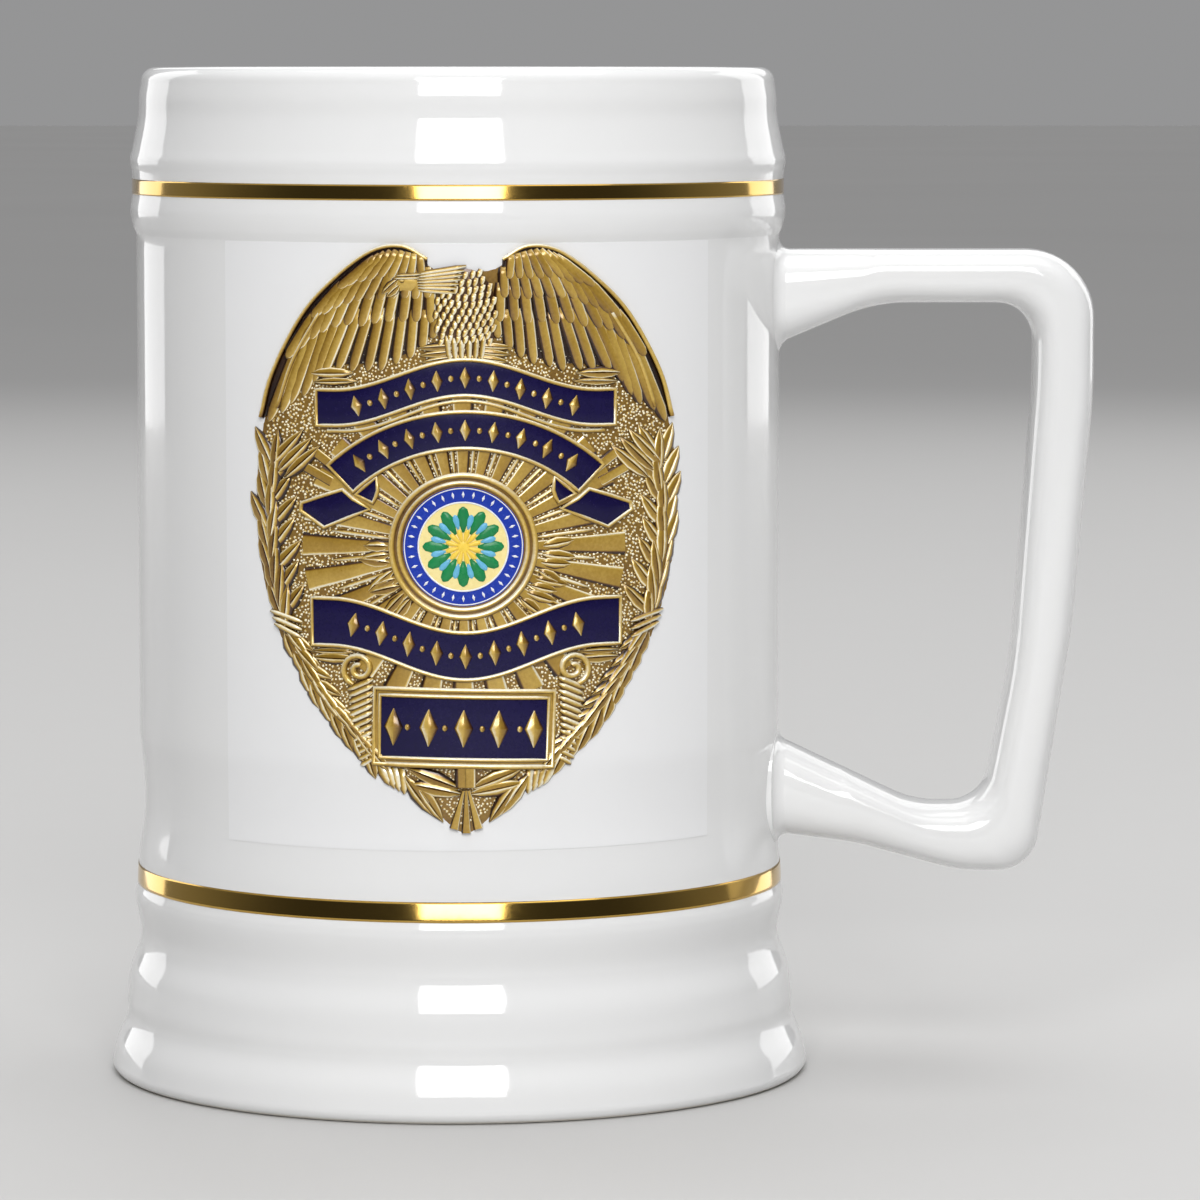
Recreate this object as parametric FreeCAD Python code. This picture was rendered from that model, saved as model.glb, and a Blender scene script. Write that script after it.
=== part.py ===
import FreeCAD, Part
import math
import os

# Beer stein: a cast ceramic vessel with a separately cast handle luted to it,
# two fired gold bands and a badge-shaped transfer print.
# Origin: centre of the base, on the vessel's axis. +Z up, handle along +X,
# print on the -Y side. All sizes in millimetres.

# vessel
height = 147.0
wall_radius = 46.93
wall_thickness = 5.0
floor_height = 9.0          # inner floor above the table
floor_fillet = 8.0
lip_radius = 2.1            # the lip is a full round

# rim band and its beads, measured down from the top
rim_bead_depth = 13.3       # widest point of the bead above the gold band
groove_top_depth = 16.1
groove_bottom_depth = 18.3
wall_top_depth = 24.2       # the plain wall starts here
rim_bead_stand = 0.86       # how far the beads stand out from the wall
groove_stand = 0.54

# foot, measured up from the table
base_radius = 51.2
base_rounding = 1.6
plinth_stand = 2.02         # step above the flared base, outside the wall
plinth_height = 11.2
lower_bead_height = 26.5
lower_bead_stand = 0.57
band_land_bottom = 28.0
band_land_top = 30.9
band_land_stand = 0.27
waist_height = 38.8
waist_depth = 0.73          # the wall draws in here
wall_bottom_height = 50.0   # the plain wall ends here
foot_ring_width = 4.6
recess_depth = 3.0

# handle
handle_reach = 45.9         # outside of the grip from the wall
handle_top_depth = 26.4     # top of the handle below the lip
handle_bottom_height = 29.4
handle_width = 18.0
top_arm_thickness = 7.8
grip_thickness = 8.8
lower_arm_thickness = 9.8
grip_lean = 8.5             # foot of the grip stands back by this much
root_height = 14.8          # handle where it meets the wall
outer_top_corner = 12.0
outer_low_corner = 7.0
inner_corner = 7.5
grip_curve = 90.0           # gentle bends along the grip
edge_rounding = 3.3
slip_fillet = 1.8           # joining slip squeezed out round each root

# decoration
gold_thickness = 0.10
print_layer = 0.12          # each printed layer of the transfer
film_width = 67.8
film_below_waist = 0.8      # the clear film ends this far under the waist
film_margin_bottom = 2.7    # clear film below the badge
film_margin_top = 0.2
badge_shift = 2.0           # badge centre from the front, towards the handle

# badge artwork, as parts of one drawing 82.2 high that is scaled to fit
art_height = 82.2
medallion_height = 40.15
picture_radius = 6.15
medallion_radius = 8.3
upper_ribbon = {"middle": 63.75, "rise": 4.3, "wave": 18.3, "half_length": 20.5, "depth": 5.0}
lower_ribbon = {"middle": 24.8, "rise": -4.6, "wave": 18.5, "half_length": 21.3, "depth": 6.6}
middle_ribbon = {"middle": 56.45, "radius": 25.0, "half_angle": 43.6, "depth": 5.1}
ribbon_tail = [(17.0, 48.0), (22.6, 46.0), (22.9, 44.9), (19.6, 42.5), (13.2, 45.3), (15.6, 46.5)]
plaque_height = 14.7
plaque_size = (23.2, 8.8)

# worked out
film_bottom = waist_height - film_below_waist
film_top = height - wall_top_depth
badge_bottom = film_bottom + film_margin_bottom
art_scale = (film_top - film_margin_top - badge_bottom) / art_height
inner_radius = wall_radius - wall_thickness
handle_top = height - handle_top_depth


def spline(points, start=None, end=None):
    """Smooth curve through (radius, z) points, with given end directions."""
    curve = Part.BSplineCurve()
    places = [FreeCAD.Vector(r, 0, z) for r, z in points]
    if start and end:
        curve.interpolate(Points=places,
                          InitialTangent=FreeCAD.Vector(start[0], 0, start[1]),
                          FinalTangent=FreeCAD.Vector(end[0], 0, end[1]))
    else:
        curve.interpolate(places)
    return curve.toShape()


def line(a, b):
    return Part.makeLine(FreeCAD.Vector(a[0], 0, a[1]), FreeCAD.Vector(b[0], 0, b[1]))


def arc(a, middle, b):
    return Part.Arc(FreeCAD.Vector(a[0], 0, a[1]),
                    FreeCAD.Vector(middle[0], 0, middle[1]),
                    FreeCAD.Vector(b[0], 0, b[1])).toShape()


def revolve(edges):
    """Solid of revolution with its seam turned away from the handle and the print."""
    face = Part.Face(Part.Wire(Part.__sortEdges__(edges)))
    axis_point, axis = FreeCAD.Vector(0, 0, 0), FreeCAD.Vector(0, 0, 1)
    face.rotate(axis_point, axis, 135)
    return face.revolve(axis_point, axis, 360)


def waist_edge(offset=0.0):
    """The soft waist between the lower gold band and the plain wall."""
    return spline([(wall_radius + offset, wall_bottom_height),
                   (wall_radius - 0.8 * waist_depth + offset, wall_bottom_height - 5.6),
                   (wall_radius - waist_depth + offset, waist_height),
                   (wall_radius + 0.07 + offset, band_land_top + 2.1),
                   (wall_radius + band_land_stand + offset, band_land_top)])


def foot_edges():
    foot_r = base_radius - base_rounding
    plinth_r = wall_radius + plinth_stand
    flat = (base_radius, base_rounding)
    moulding_top = (wall_radius, lower_bead_height - 5.3)
    base = arc((foot_r, 0),
               (foot_r + base_rounding * math.sin(math.radians(45)),
                base_rounding * (1 - math.cos(math.radians(45)))), flat)
    flare = spline([flat,
                    (plinth_r + 0.68 * (base_radius - plinth_r), plinth_height - 6.5),
                    (plinth_r + 0.1, plinth_height - 3.0),
                    (plinth_r, plinth_height),
                    (wall_radius + 0.75 * plinth_stand, plinth_height + 4.1),
                    (wall_radius + 0.13 * plinth_stand, plinth_height + 7.6),
                    moulding_top], (0, 1), (0, 1))
    bead = spline([moulding_top,
                   (wall_radius + 0.85 * lower_bead_stand, lower_bead_height - 1.5),
                   (wall_radius + lower_bead_stand, lower_bead_height),
                   (wall_radius + 0.9 * lower_bead_stand, band_land_bottom)])
    land = line((wall_radius + 0.9 * lower_bead_stand, band_land_bottom),
                (wall_radius + band_land_stand, band_land_top))
    return [base, flare, bead, land]


def rim_edges():
    top = height
    lip_centre_r = inner_radius + lip_radius
    lip_z = top - lip_radius
    groove_r = wall_radius + groove_stand
    bead_r = wall_radius + rim_bead_stand
    lower_bead = spline([(wall_radius, top - wall_top_depth),
                         (wall_radius + 0.66 * rim_bead_stand, top - wall_top_depth + 1.5),
                         (bead_r, top - groove_bottom_depth - 2.4),
                         (groove_r, top - groove_bottom_depth)])
    groove = line((groove_r, top - groove_bottom_depth), (groove_r, top - groove_top_depth))
    band = spline([(groove_r, top - groove_top_depth),
                   (groove_r + 0.12, top - groove_top_depth + 1.2),
                   (bead_r, top - rim_bead_depth),
                   (wall_radius + 0.4, top - rim_bead_depth + 2.1),
                   (lip_centre_r + lip_radius + 0.35, top - 6.5),
                   (lip_centre_r + lip_radius, lip_z)])
    lip = arc((lip_centre_r + lip_radius, lip_z), (lip_centre_r, top), (inner_radius, lip_z))
    return [lower_bead, groove, band, lip]


def inside_edges():
    lip_z = height - lip_radius
    corner = (inner_radius - floor_fillet, floor_height)
    bend = (inner_radius - floor_fillet * (1 - math.sin(math.radians(45))),
            floor_height + floor_fillet * (1 - math.cos(math.radians(45))))
    wall_end = (inner_radius, floor_height + floor_fillet)
    foot_inner = base_radius - base_rounding - foot_ring_width
    shoulder = foot_inner - recess_depth
    shoulder_bend = (foot_inner - recess_depth * (1 - math.cos(math.radians(45))),
                     recess_depth * math.sin(math.radians(45)))
    return [line((inner_radius, lip_z), wall_end),
            arc(wall_end, bend, corner),
            line(corner, (0, floor_height)),
            line((0, floor_height), (0, recess_depth)),
            line((0, recess_depth), (shoulder, recess_depth)),
            arc((shoulder, recess_depth), shoulder_bend, (foot_inner, 0)),
            line((foot_inner, 0), (base_radius - base_rounding, 0))]


def make_vessel():
    wall = line((wall_radius, wall_bottom_height), (wall_radius, height - wall_top_depth))
    return revolve(foot_edges() + [waist_edge(), wall] + rim_edges() + inside_edges())


def make_ring(inner_low, inner_high):
    """Fired gold band on a straight land of the profile."""
    outer_low = (inner_low[0] + gold_thickness, inner_low[1])
    outer_high = (inner_high[0] + gold_thickness, inner_high[1])
    return revolve([line(inner_low, outer_low), line(outer_low, outer_high),
                    line(outer_high, inner_high), line(inner_high, inner_low)])


def rounded_outline(corners):
    """Closed wire in the XZ plane from (x, z, radius) corners.

    Where two neighbouring roundings would meet, both shrink to share their side.
    """
    count = len(corners)
    places = [FreeCAD.Vector(x, 0, z) for x, z, radius in corners]
    half_angles = []
    backs = []
    for i in range(count):
        before = places[i - 1] - places[i]
        after = places[(i + 1) % count] - places[i]
        half_angles.append(before.getAngle(after) / 2)
        backs.append(corners[i][2] / math.tan(half_angles[i]))
    shares = [1.0] * count
    for i in range(count):
        side = (places[i] - places[i - 1]).Length
        wanted = backs[i] + backs[i - 1]
        if wanted > 0.98 * side:
            shares[i] = min(shares[i], 0.98 * side / wanted)
            shares[i - 1] = min(shares[i - 1], 0.98 * side / wanted)
    edges = []
    ends = []
    for i in range(count):
        before = (places[i - 1] - places[i]).normalize()
        after = (places[(i + 1) % count] - places[i]).normalize()
        back = backs[i] * shares[i]
        start = places[i] + before * back
        end = places[i] + after * back
        if back > 0:
            radius = back * math.tan(half_angles[i])
            inward = (before + after).normalize()
            middle = places[i] + inward * (radius / math.sin(half_angles[i]) - radius)
            edges.append(Part.Arc(start, middle, end).toShape())
        ends.append((start, end))
    for i in range(count):
        edges.append(Part.makeLine(ends[i][1], ends[(i + 1) % count][0]))
    return Part.Wire(Part.__sortEdges__(edges))


def handle_corners():
    inside = wall_radius - 0.55 * wall_thickness      # the roots run into the wall
    out = wall_radius + handle_reach
    top = handle_top
    low = handle_bottom_height
    tall = top - low
    grip_in = out - grip_thickness
    outer = [(inside, top, 0),
             (out, top, outer_top_corner),
             (out, top - 0.226 * tall, grip_curve),
             (out - 0.34 * grip_lean, top - 0.6 * tall, grip_curve),
             (out - grip_lean, low, outer_low_corner),
             (wall_radius + 0.58 * handle_reach, low, 25),
             (wall_radius + 0.24 * handle_reach, low + 0.43 * lower_arm_thickness, 40),
             (inside, low + 0.6 * lower_arm_thickness, 0)]
    low_root_top = low + 0.6 * lower_arm_thickness + root_height
    inner = [(inside, low_root_top, 0),
             (wall_radius + 0.437 * handle_reach, low + lower_arm_thickness, 15),
             (grip_in - 0.83 * grip_lean, low + lower_arm_thickness, inner_corner),
             (grip_in - 0.36 * grip_lean, low + lower_arm_thickness + 0.23 * tall, grip_curve),
             (grip_in, top - 0.21 * tall, grip_curve),
             (grip_in, top - top_arm_thickness, inner_corner),
             (wall_radius + 0.3 * handle_reach, top - top_arm_thickness, 25),
             (inside, top - root_height, 0)]
    return outer + inner


def make_handle(vessel_solid):
    outline = Part.Face(rounded_outline(handle_corners()))
    outline.translate(FreeCAD.Vector(0, -handle_width / 2, 0))
    bar = outline.extrude(FreeCAD.Vector(0, handle_width, 0))
    long_edges = [edge for edge in bar.Edges
                  if abs(abs(edge.CenterOfMass.y) - handle_width / 2) < 0.01
                  and edge.BoundBox.XMax > wall_radius]
    thinnest = min(top_arm_thickness, grip_thickness, lower_arm_thickness)
    rounding = min(edge_rounding, 0.45 * thinnest)
    return bar.makeFillet(rounding, long_edges).cut(vessel_solid)


def make_slip(vessel_solid, handle_solid, root_middle):
    """Fillet of joining slip round one root of the handle, worked out on the wall beside it."""
    reach_up = root_height / 2 + 4 * slip_fillet
    reach_out = handle_width / 2 + 4 * slip_fillet
    beside = Part.makeBox(wall_radius, 2 * reach_out, 2 * reach_up,
                          FreeCAD.Vector(wall_radius / 2, -reach_out, root_middle - reach_up))
    wall = vessel_solid.common(beside)
    joined = wall.fuse(handle_solid)
    roots = []
    for edge in joined.Edges:
        span = edge.LastParameter - edge.FirstParameter
        spots = [edge.valueAt(edge.FirstParameter + share * span) for share in (0.1, 0.5, 0.9)]
        on_wall = all(abs(math.hypot(spot.x, spot.y) - wall_radius) < 1.0 for spot in spots)
        round_root = all(abs(spot.y) < handle_width / 2 + 0.1
                         and abs(spot.z - root_middle) < root_height / 2 + 1.5 for spot in spots)
        if on_wall and round_root:
            roots.append(edge)
    return joined.makeFillet(slip_fillet, roots).cut(joined)


def print_shell(layer):
    """Closed skin that follows the wall, one printed layer thick."""
    inner = wall_radius + layer * print_layer
    outer = inner + print_layer
    edges = [line((inner, film_top), (outer, film_top)),
             line((inner + band_land_stand, band_land_top), (outer + band_land_stand, band_land_top))]
    for radius in (inner, outer):
        edges.append(line((radius, film_top), (radius, wall_bottom_height)))
        edges.append(waist_edge(radius - wall_radius))
    return revolve(edges)


def art_place(a, b):
    return FreeCAD.Vector(badge_shift + a * art_scale, -2 * base_radius, badge_bottom + b * art_scale)


def printed(edges, layer):
    """Art edges, projected straight back on to one layer of the wall."""
    face = Part.Face(Part.Wire(Part.__sortEdges__(edges)))
    block = face.extrude(FreeCAD.Vector(0, 2 * base_radius, 0))
    return block.common(print_shell(layer))


def art_line(a, b):
    return Part.makeLine(art_place(*a), art_place(*b))


def art_arc(a, middle, b):
    return Part.Arc(art_place(*a), art_place(*middle), art_place(*b)).toShape()


def mirrored(points):
    return [(-a, b) for a, b in points]


def badge_edges():
    """Shield outline: pointed below, bulging at the sides, two wing domes above."""
    tip, knee = (1.4, 0.0), (13.9, 10.7)
    lower_bulge, side, upper_bulge = (24.3, 22.8), (29.8, 40.0), (29.6, 52.0)
    shoulder, wing_edge, dome = (26.6, 64.4), (20.6, 75.0), (12.5, 81.6)
    dome_top, notch = (8.4, art_height), (4.2, 79.0)
    edges = [art_line(*mirrored([tip]), tip), art_line(*mirrored([notch]), notch)]
    for turned in (list, mirrored):
        edges += [art_line(*turned([tip, knee])),
                  art_arc(*turned([knee, lower_bulge, side])),
                  art_arc(*turned([side, upper_bulge, shoulder])),
                  art_arc(*turned([shoulder, wing_edge, dome])),
                  art_arc(*turned([dome, dome_top, notch]))]
    return edges


def art_spline(points):
    curve = Part.BSplineCurve()
    curve.interpolate([art_place(a, b) for a, b in points])
    return curve.toShape()


def waved_ribbon(ribbon):
    """Ribbon that rises or sags in the middle along a squared cosine."""
    def height_at(a):
        if abs(a) >= ribbon["wave"]:
            return ribbon["middle"] - ribbon["rise"]
        swell = math.cos(math.pi * a / (2 * ribbon["wave"])) ** 2
        return ribbon["middle"] - ribbon["rise"] * (1 - swell)
    steps = [ribbon["half_length"] * (i / 8.0 - 1) for i in range(17)]
    half = ribbon["depth"] / 2
    upper = [(a, height_at(a) + half) for a in steps]
    lower = [(a, height_at(a) - half) for a in steps]
    return [art_spline(upper), art_line(upper[-1], lower[-1]),
            art_spline(lower), art_line(lower[0], upper[0])]


def arched_ribbon(ribbon):
    centre = ribbon["middle"] - ribbon["radius"]
    angle = math.radians(ribbon["half_angle"])
    ends = []
    for radius in (ribbon["radius"] + ribbon["depth"] / 2, ribbon["radius"] - ribbon["depth"] / 2):
        ends.append([(-radius * math.sin(angle), centre + radius * math.cos(angle)),
                     (0, centre + radius),
                     (radius * math.sin(angle), centre + radius * math.cos(angle))])
    return [art_arc(*ends[0]), art_arc(*ends[1]),
            art_line(ends[0][0], ends[1][0]), art_line(ends[0][2], ends[1][2])]


def polygon(points):
    return [art_line(points[i - 1], points[i]) for i in range(len(points))]


def circle_edges(radius):
    centre = art_place(0, medallion_height)
    return [Part.makeCircle(radius * art_scale, centre, FreeCAD.Vector(0, 1, 0))]


def make_print():
    film = [FreeCAD.Vector(badge_shift + side * film_width / 2, -2 * base_radius, z)
            for side, z in ((-1, film_bottom), (1, film_bottom), (1, film_top), (-1, film_top))]
    film_edges = [Part.makeLine(film[i - 1], film[i]) for i in range(4)]
    half_long, half_tall = plaque_size[0] / 2, plaque_size[1] / 2
    plaque = [(-half_long, plaque_height - half_tall), (half_long, plaque_height - half_tall),
              (half_long, plaque_height + half_tall), (-half_long, plaque_height + half_tall)]
    medallion = printed(circle_edges(medallion_radius), 2)
    picture = printed(circle_edges(picture_radius), 2)
    return {"transfer_film": printed(film_edges, 0),
            "badge_gold_print": printed(badge_edges(), 1),
            "upper_ribbon_print": printed(waved_ribbon(upper_ribbon), 2),
            "middle_ribbon_print": printed(arched_ribbon(middle_ribbon), 2),
            "left_ribbon_tail_print": printed(polygon(mirrored(ribbon_tail)), 2),
            "right_ribbon_tail_print": printed(polygon(ribbon_tail), 2),
            "lower_ribbon_print": printed(waved_ribbon(lower_ribbon), 2),
            "plaque_print": printed(polygon(plaque), 2),
            "medallion_ring_print": medallion.cut(picture),
            "medallion_picture_print": picture}


def main():
    os.makedirs("parts", exist_ok=True)
    vessel = make_vessel()
    handle = make_handle(vessel)
    upper_root = handle_top - root_height / 2
    lower_root = handle_bottom_height + 0.6 * lower_arm_thickness + root_height / 2
    groove_r = wall_radius + groove_stand
    pieces = {"stein_body": vessel,
              "handle": handle,
              "upper_handle_slip": make_slip(vessel, handle, upper_root),
              "lower_handle_slip": make_slip(vessel, handle, lower_root),
              "upper_gold_band": make_ring((groove_r, height - groove_bottom_depth),
                                           (groove_r, height - groove_top_depth)),
              "lower_gold_band": make_ring((wall_radius + 0.9 * lower_bead_stand, band_land_bottom),
                                           (wall_radius + band_land_stand, band_land_top))}
    pieces.update(make_print())
    for name, shape in pieces.items():
        solids = shape.Solids
        solid = solids[0] if len(solids) == 1 else Part.makeCompound(solids)
        print("%-26s solids %d valid %s volume %10.2f" %
              (name, len(solids), solid.isValid(), solid.Volume))
        solid.exportStep("parts/" + name + ".step")


main()
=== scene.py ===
import math

import bmesh
import bpy
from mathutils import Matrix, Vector


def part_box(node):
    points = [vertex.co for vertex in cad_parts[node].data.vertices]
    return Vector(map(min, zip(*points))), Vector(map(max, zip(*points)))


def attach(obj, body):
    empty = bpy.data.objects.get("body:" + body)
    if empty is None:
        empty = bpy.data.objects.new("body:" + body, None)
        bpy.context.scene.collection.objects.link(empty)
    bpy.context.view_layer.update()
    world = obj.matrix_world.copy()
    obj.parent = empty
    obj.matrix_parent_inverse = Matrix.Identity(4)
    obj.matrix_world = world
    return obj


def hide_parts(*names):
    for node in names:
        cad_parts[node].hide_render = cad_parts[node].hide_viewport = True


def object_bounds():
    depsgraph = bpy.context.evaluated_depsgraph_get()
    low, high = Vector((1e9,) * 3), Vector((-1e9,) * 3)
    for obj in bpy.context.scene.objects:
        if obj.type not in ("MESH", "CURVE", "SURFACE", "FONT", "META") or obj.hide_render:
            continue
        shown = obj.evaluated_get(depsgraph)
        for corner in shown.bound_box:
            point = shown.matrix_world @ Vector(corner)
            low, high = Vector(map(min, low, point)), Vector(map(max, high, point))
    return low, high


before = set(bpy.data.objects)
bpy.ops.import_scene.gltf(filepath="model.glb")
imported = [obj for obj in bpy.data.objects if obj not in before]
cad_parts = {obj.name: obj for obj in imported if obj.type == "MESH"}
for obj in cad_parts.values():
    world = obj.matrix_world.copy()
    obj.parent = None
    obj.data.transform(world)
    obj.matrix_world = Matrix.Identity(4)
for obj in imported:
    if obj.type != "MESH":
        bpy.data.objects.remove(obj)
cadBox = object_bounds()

# Beer stein: glazed vessel with a luted handle, two gold bands and a badge-shaped transfer print.
# Metres, Z up, handle along +X, print on the -Y side. Dictionaries hold millimetres.
mm = 0.001
scene = bpy.context.scene

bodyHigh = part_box("stein_body")[1]
handleLow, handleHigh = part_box("handle")
upperBandLow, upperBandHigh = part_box("upper_gold_band")
lowerBandLow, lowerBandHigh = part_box("lower_gold_band")
filmLow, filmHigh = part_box("transfer_film")
badgeLow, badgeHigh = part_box("badge_gold_print")
steinHeight = bodyHigh.z
doubles = 0.000002    # points closer than this are one


# small helpers for node trees and meshes

def putNode(tree, kind, feeds=None, **settings):
    made = tree.nodes.new(kind)
    made.location = (220 * (len(tree.nodes) % 12), -260 * (len(tree.nodes) // 12))
    for name, value in settings.items():
        setattr(made, name, value)
    for key, value in (feeds or {}).items():
        if isinstance(value, bpy.types.NodeSocket):
            tree.links.new(value, made.inputs[key])
        else:
            made.inputs[key].default_value = value
    return made


def maths(tree, operation, *values):
    return putNode(tree, "ShaderNodeMath", dict(enumerate(values)), operation=operation).outputs[0]


def vectorMaths(tree, operation, *values):
    made = putNode(tree, "ShaderNodeVectorMath", dict(enumerate(values)), operation=operation)
    return made.outputs["Value" if operation in ("LENGTH", "DISTANCE") else "Vector"]


def vectorOf(tree, **parts):
    return putNode(tree, "ShaderNodeCombineXYZ", parts).outputs[0]


def partsOf(tree, vector):
    return putNode(tree, "ShaderNodeSeparateXYZ", {0: vector}).outputs


def newTree(name, sockets):
    # sockets: (label, kind, default); the tree takes and gives a geometry as well
    tree = bpy.data.node_groups.new(name, "GeometryNodeTree")
    tree.interface.new_socket("Geometry", in_out="INPUT", socket_type="NodeSocketGeometry")
    for label, kind, default in sockets:
        socket = tree.interface.new_socket(label, in_out="INPUT", socket_type="NodeSocket" + kind)
        if default is not None:
            socket.default_value = default
    tree.interface.new_socket("Geometry", in_out="OUTPUT", socket_type="NodeSocketGeometry")
    return tree, tree.nodes.new("NodeGroupInput").outputs, tree.nodes.new("NodeGroupOutput")


def geometryOf(tree, item):
    # what an object input brings in
    return putNode(tree, "GeometryNodeObjectInfo", {"Object": item}).outputs["Geometry"]


def asCurve(tree, mesh):
    return putNode(tree, "GeometryNodeMeshToCurve", {"Mesh": mesh}).outputs[0]


def stored(tree, geometry, name, value, domain="POINT"):
    return putNode(tree, "GeometryNodeStoreNamedAttribute",
                   {"Geometry": geometry, "Name": name, "Value": value},
                   data_type="FLOAT", domain=domain).outputs["Geometry"]


def finishTree(tree, given, out, geometry):
    # every tree ends in real geometry with the given material
    real = putNode(tree, "GeometryNodeRealizeInstances", {"Geometry": geometry})
    painted = putNode(tree, "GeometryNodeSetMaterial",
                      {"Geometry": real.outputs["Geometry"], "Material": given["Material"]})
    tree.links.new(painted.outputs["Geometry"], out.inputs["Geometry"])
    return tree


def lineMesh(name, points, closed=False):
    # loose chain of edges, for a tree to turn into a curve
    mesh = bpy.data.meshes.new(name)
    edges = [(i, i + 1) for i in range(len(points) - 1)]
    if closed:
        edges.append((len(points) - 1, 0))
    mesh.from_pydata(points, edges, [])
    return mesh


def newObject(name, mesh):
    made = bpy.data.objects.new(name, mesh)
    scene.collection.objects.link(made)
    return made


def grow(name, mesh, tree, values):
    # runs a tree on a mesh and keeps the plain mesh that comes out
    seed = newObject(name, mesh)
    modifier = seed.modifiers.new("build", "NODES")
    modifier.node_group = tree
    for item in tree.interface.items_tree:
        if item.in_out == "INPUT" and item.name in values:
            modifier[item.identifier] = values[item.name]
    depsgraph = bpy.context.evaluated_depsgraph_get()
    result = bpy.data.meshes.new_from_object(seed.evaluated_get(depsgraph), depsgraph=depsgraph)
    seed.modifiers.clear()
    seed.data = result
    result.name = name
    return seed


def smoothRun(points, steps=6):
    # Catmull-Rom run through the points, with its ends led straight on
    points = [Vector(p) for p in points]
    chain = [2 * points[0] - points[1]] + points + [2 * points[-1] - points[-2]]
    run = []
    for a, b, c, d in zip(chain, chain[1:], chain[2:], chain[3:]):
        for step in range(steps):
            t = step / steps
            run.append(0.5 * (2 * b + (c - a) * t + (2 * a - 5 * b + 4 * c - d) * t ** 2
                              + (3 * b - a - 3 * c + d) * t ** 3))
    return run + [points[-1]]


def arcRun(centre, radius, start, end, steps):
    # points on an arc, by angles in degrees
    turns = [math.radians(start + (end - start) * i / steps) for i in range(steps + 1)]
    return [Vector((centre[0] + radius * math.cos(t), centre[1] + radius * math.sin(t))) for t in turns]


def straightRun(start, end, steps):
    return [Vector(start).lerp(Vector(end), i / steps) for i in range(steps + 1)]


# the camera comes first, so that everything is judged through it
# millimetres, degrees down, millimetres of lens
cameraView = {"place": (20.7, -867.0, 148.5), "pitch": 5.24, "lens": 177.7}

camera = bpy.data.objects.new("camera", bpy.data.cameras.new("camera"))
scene.collection.objects.link(camera)
camera.data.lens = cameraView["lens"]
camera.location = Vector(cameraView["place"]) * mm
camera.rotation_euler = (math.radians(90 - cameraView["pitch"]), 0, 0)
scene.camera = camera
print("camera ready")


# shared shader effects

def newEffect(name, inputs, outputs):
    group = bpy.data.node_groups.new(name, "ShaderNodeTree")
    for label, kind, default in inputs:
        socket = group.interface.new_socket(label, in_out="INPUT", socket_type="NodeSocket" + kind)
        socket.default_value = default
    for label, kind in outputs:
        group.interface.new_socket(label, in_out="OUTPUT", socket_type="NodeSocket" + kind)
    return group, group.nodes.new("NodeGroupInput").outputs, group.nodes.new("NodeGroupOutput")


def objectPlace(tree):
    return putNode(tree, "ShaderNodeTexCoord").outputs["Object"]


def cloudEffect():
    # slow and fine unevenness on Object coordinates: a mask for tone and a height for bump
    group, given, out = newEffect(
        "unevenness",
        [("Slow Scale", "Float", 20.0), ("Fine Scale", "Float", 300.0), ("Fine Share", "Float", 0.3)],
        [("Mask", "Float"), ("Height", "Float")])
    place = objectPlace(group)
    slow = putNode(group, "ShaderNodeTexNoise",
                   {"Vector": place, "Scale": given["Slow Scale"], "Detail": 2.0}).outputs["Fac"]
    fine = putNode(group, "ShaderNodeTexNoise",
                   {"Vector": place, "Scale": given["Fine Scale"], "Detail": 3.0}).outputs["Fac"]
    mixed = putNode(group, "ShaderNodeMix", {0: given["Fine Share"], 2: slow, 3: fine})
    group.links.new(slow, out.inputs["Mask"])
    group.links.new(mixed.outputs[0], out.inputs["Height"])
    return group


def heightMaskEffect():
    # 1 below a height over the table and 0 above it, with a soft edge
    group, given, out = newEffect(
        "low mask", [("Height", "Float", 0.001), ("Softness", "Float", 0.0004)], [("Mask", "Float")])
    level = partsOf(group, objectPlace(group))["Z"]
    top = maths(group, "ADD", given["Height"], given["Softness"])
    mask = putNode(group, "ShaderNodeMapRange",
                   {"Value": level, "From Min": given["Height"], "From Max": top,
                    "To Min": 1.0, "To Max": 0.0}).outputs["Result"]
    group.links.new(mask, out.inputs["Mask"])
    return group


unevenness = cloudEffect()
lowMask = heightMaskEffect()


def useEffect(tree, group, **values):
    return putNode(tree, "ShaderNodeGroup", {key.replace("_", " "): value for key, value in values.items()},
                   node_tree=group)


def newMaterial(name, **sockets):
    # plain values on the Principled shader's own sockets
    material = bpy.data.materials.new(name)
    material.use_nodes = True
    shader = material.node_tree.nodes["Principled BSDF"]
    for label, value in sockets.items():
        shader.inputs[label.replace("_", " ")].default_value = value
    return material, material.node_tree, shader


def blendColours(tree, mask, first, second):
    made = putNode(tree, "ShaderNodeMix", data_type="RGBA")
    tree.links.new(mask, made.inputs[0])
    for socket, colour in ((made.inputs[6], first), (made.inputs[7], second)):
        if isinstance(colour, bpy.types.NodeSocket):
            tree.links.new(colour, socket)
        else:
            socket.default_value = (*colour, 1)
    return made.outputs[2]


def spread(tree, mask, low, high):
    # a 0 to 1 mask spread over a range of values
    return putNode(tree, "ShaderNodeMapRange",
                   {"Value": mask, "To Min": low, "To Max": high}).outputs["Result"]


def bump(tree, target, height, distance, strength):
    # target is the shader, or a bump that lies over this one
    made = putNode(tree, "ShaderNodeBump", {"Height": height, "Distance": distance, "Strength": strength})
    tree.links.new(made.outputs["Normal"], target.inputs["Normal"])


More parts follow.
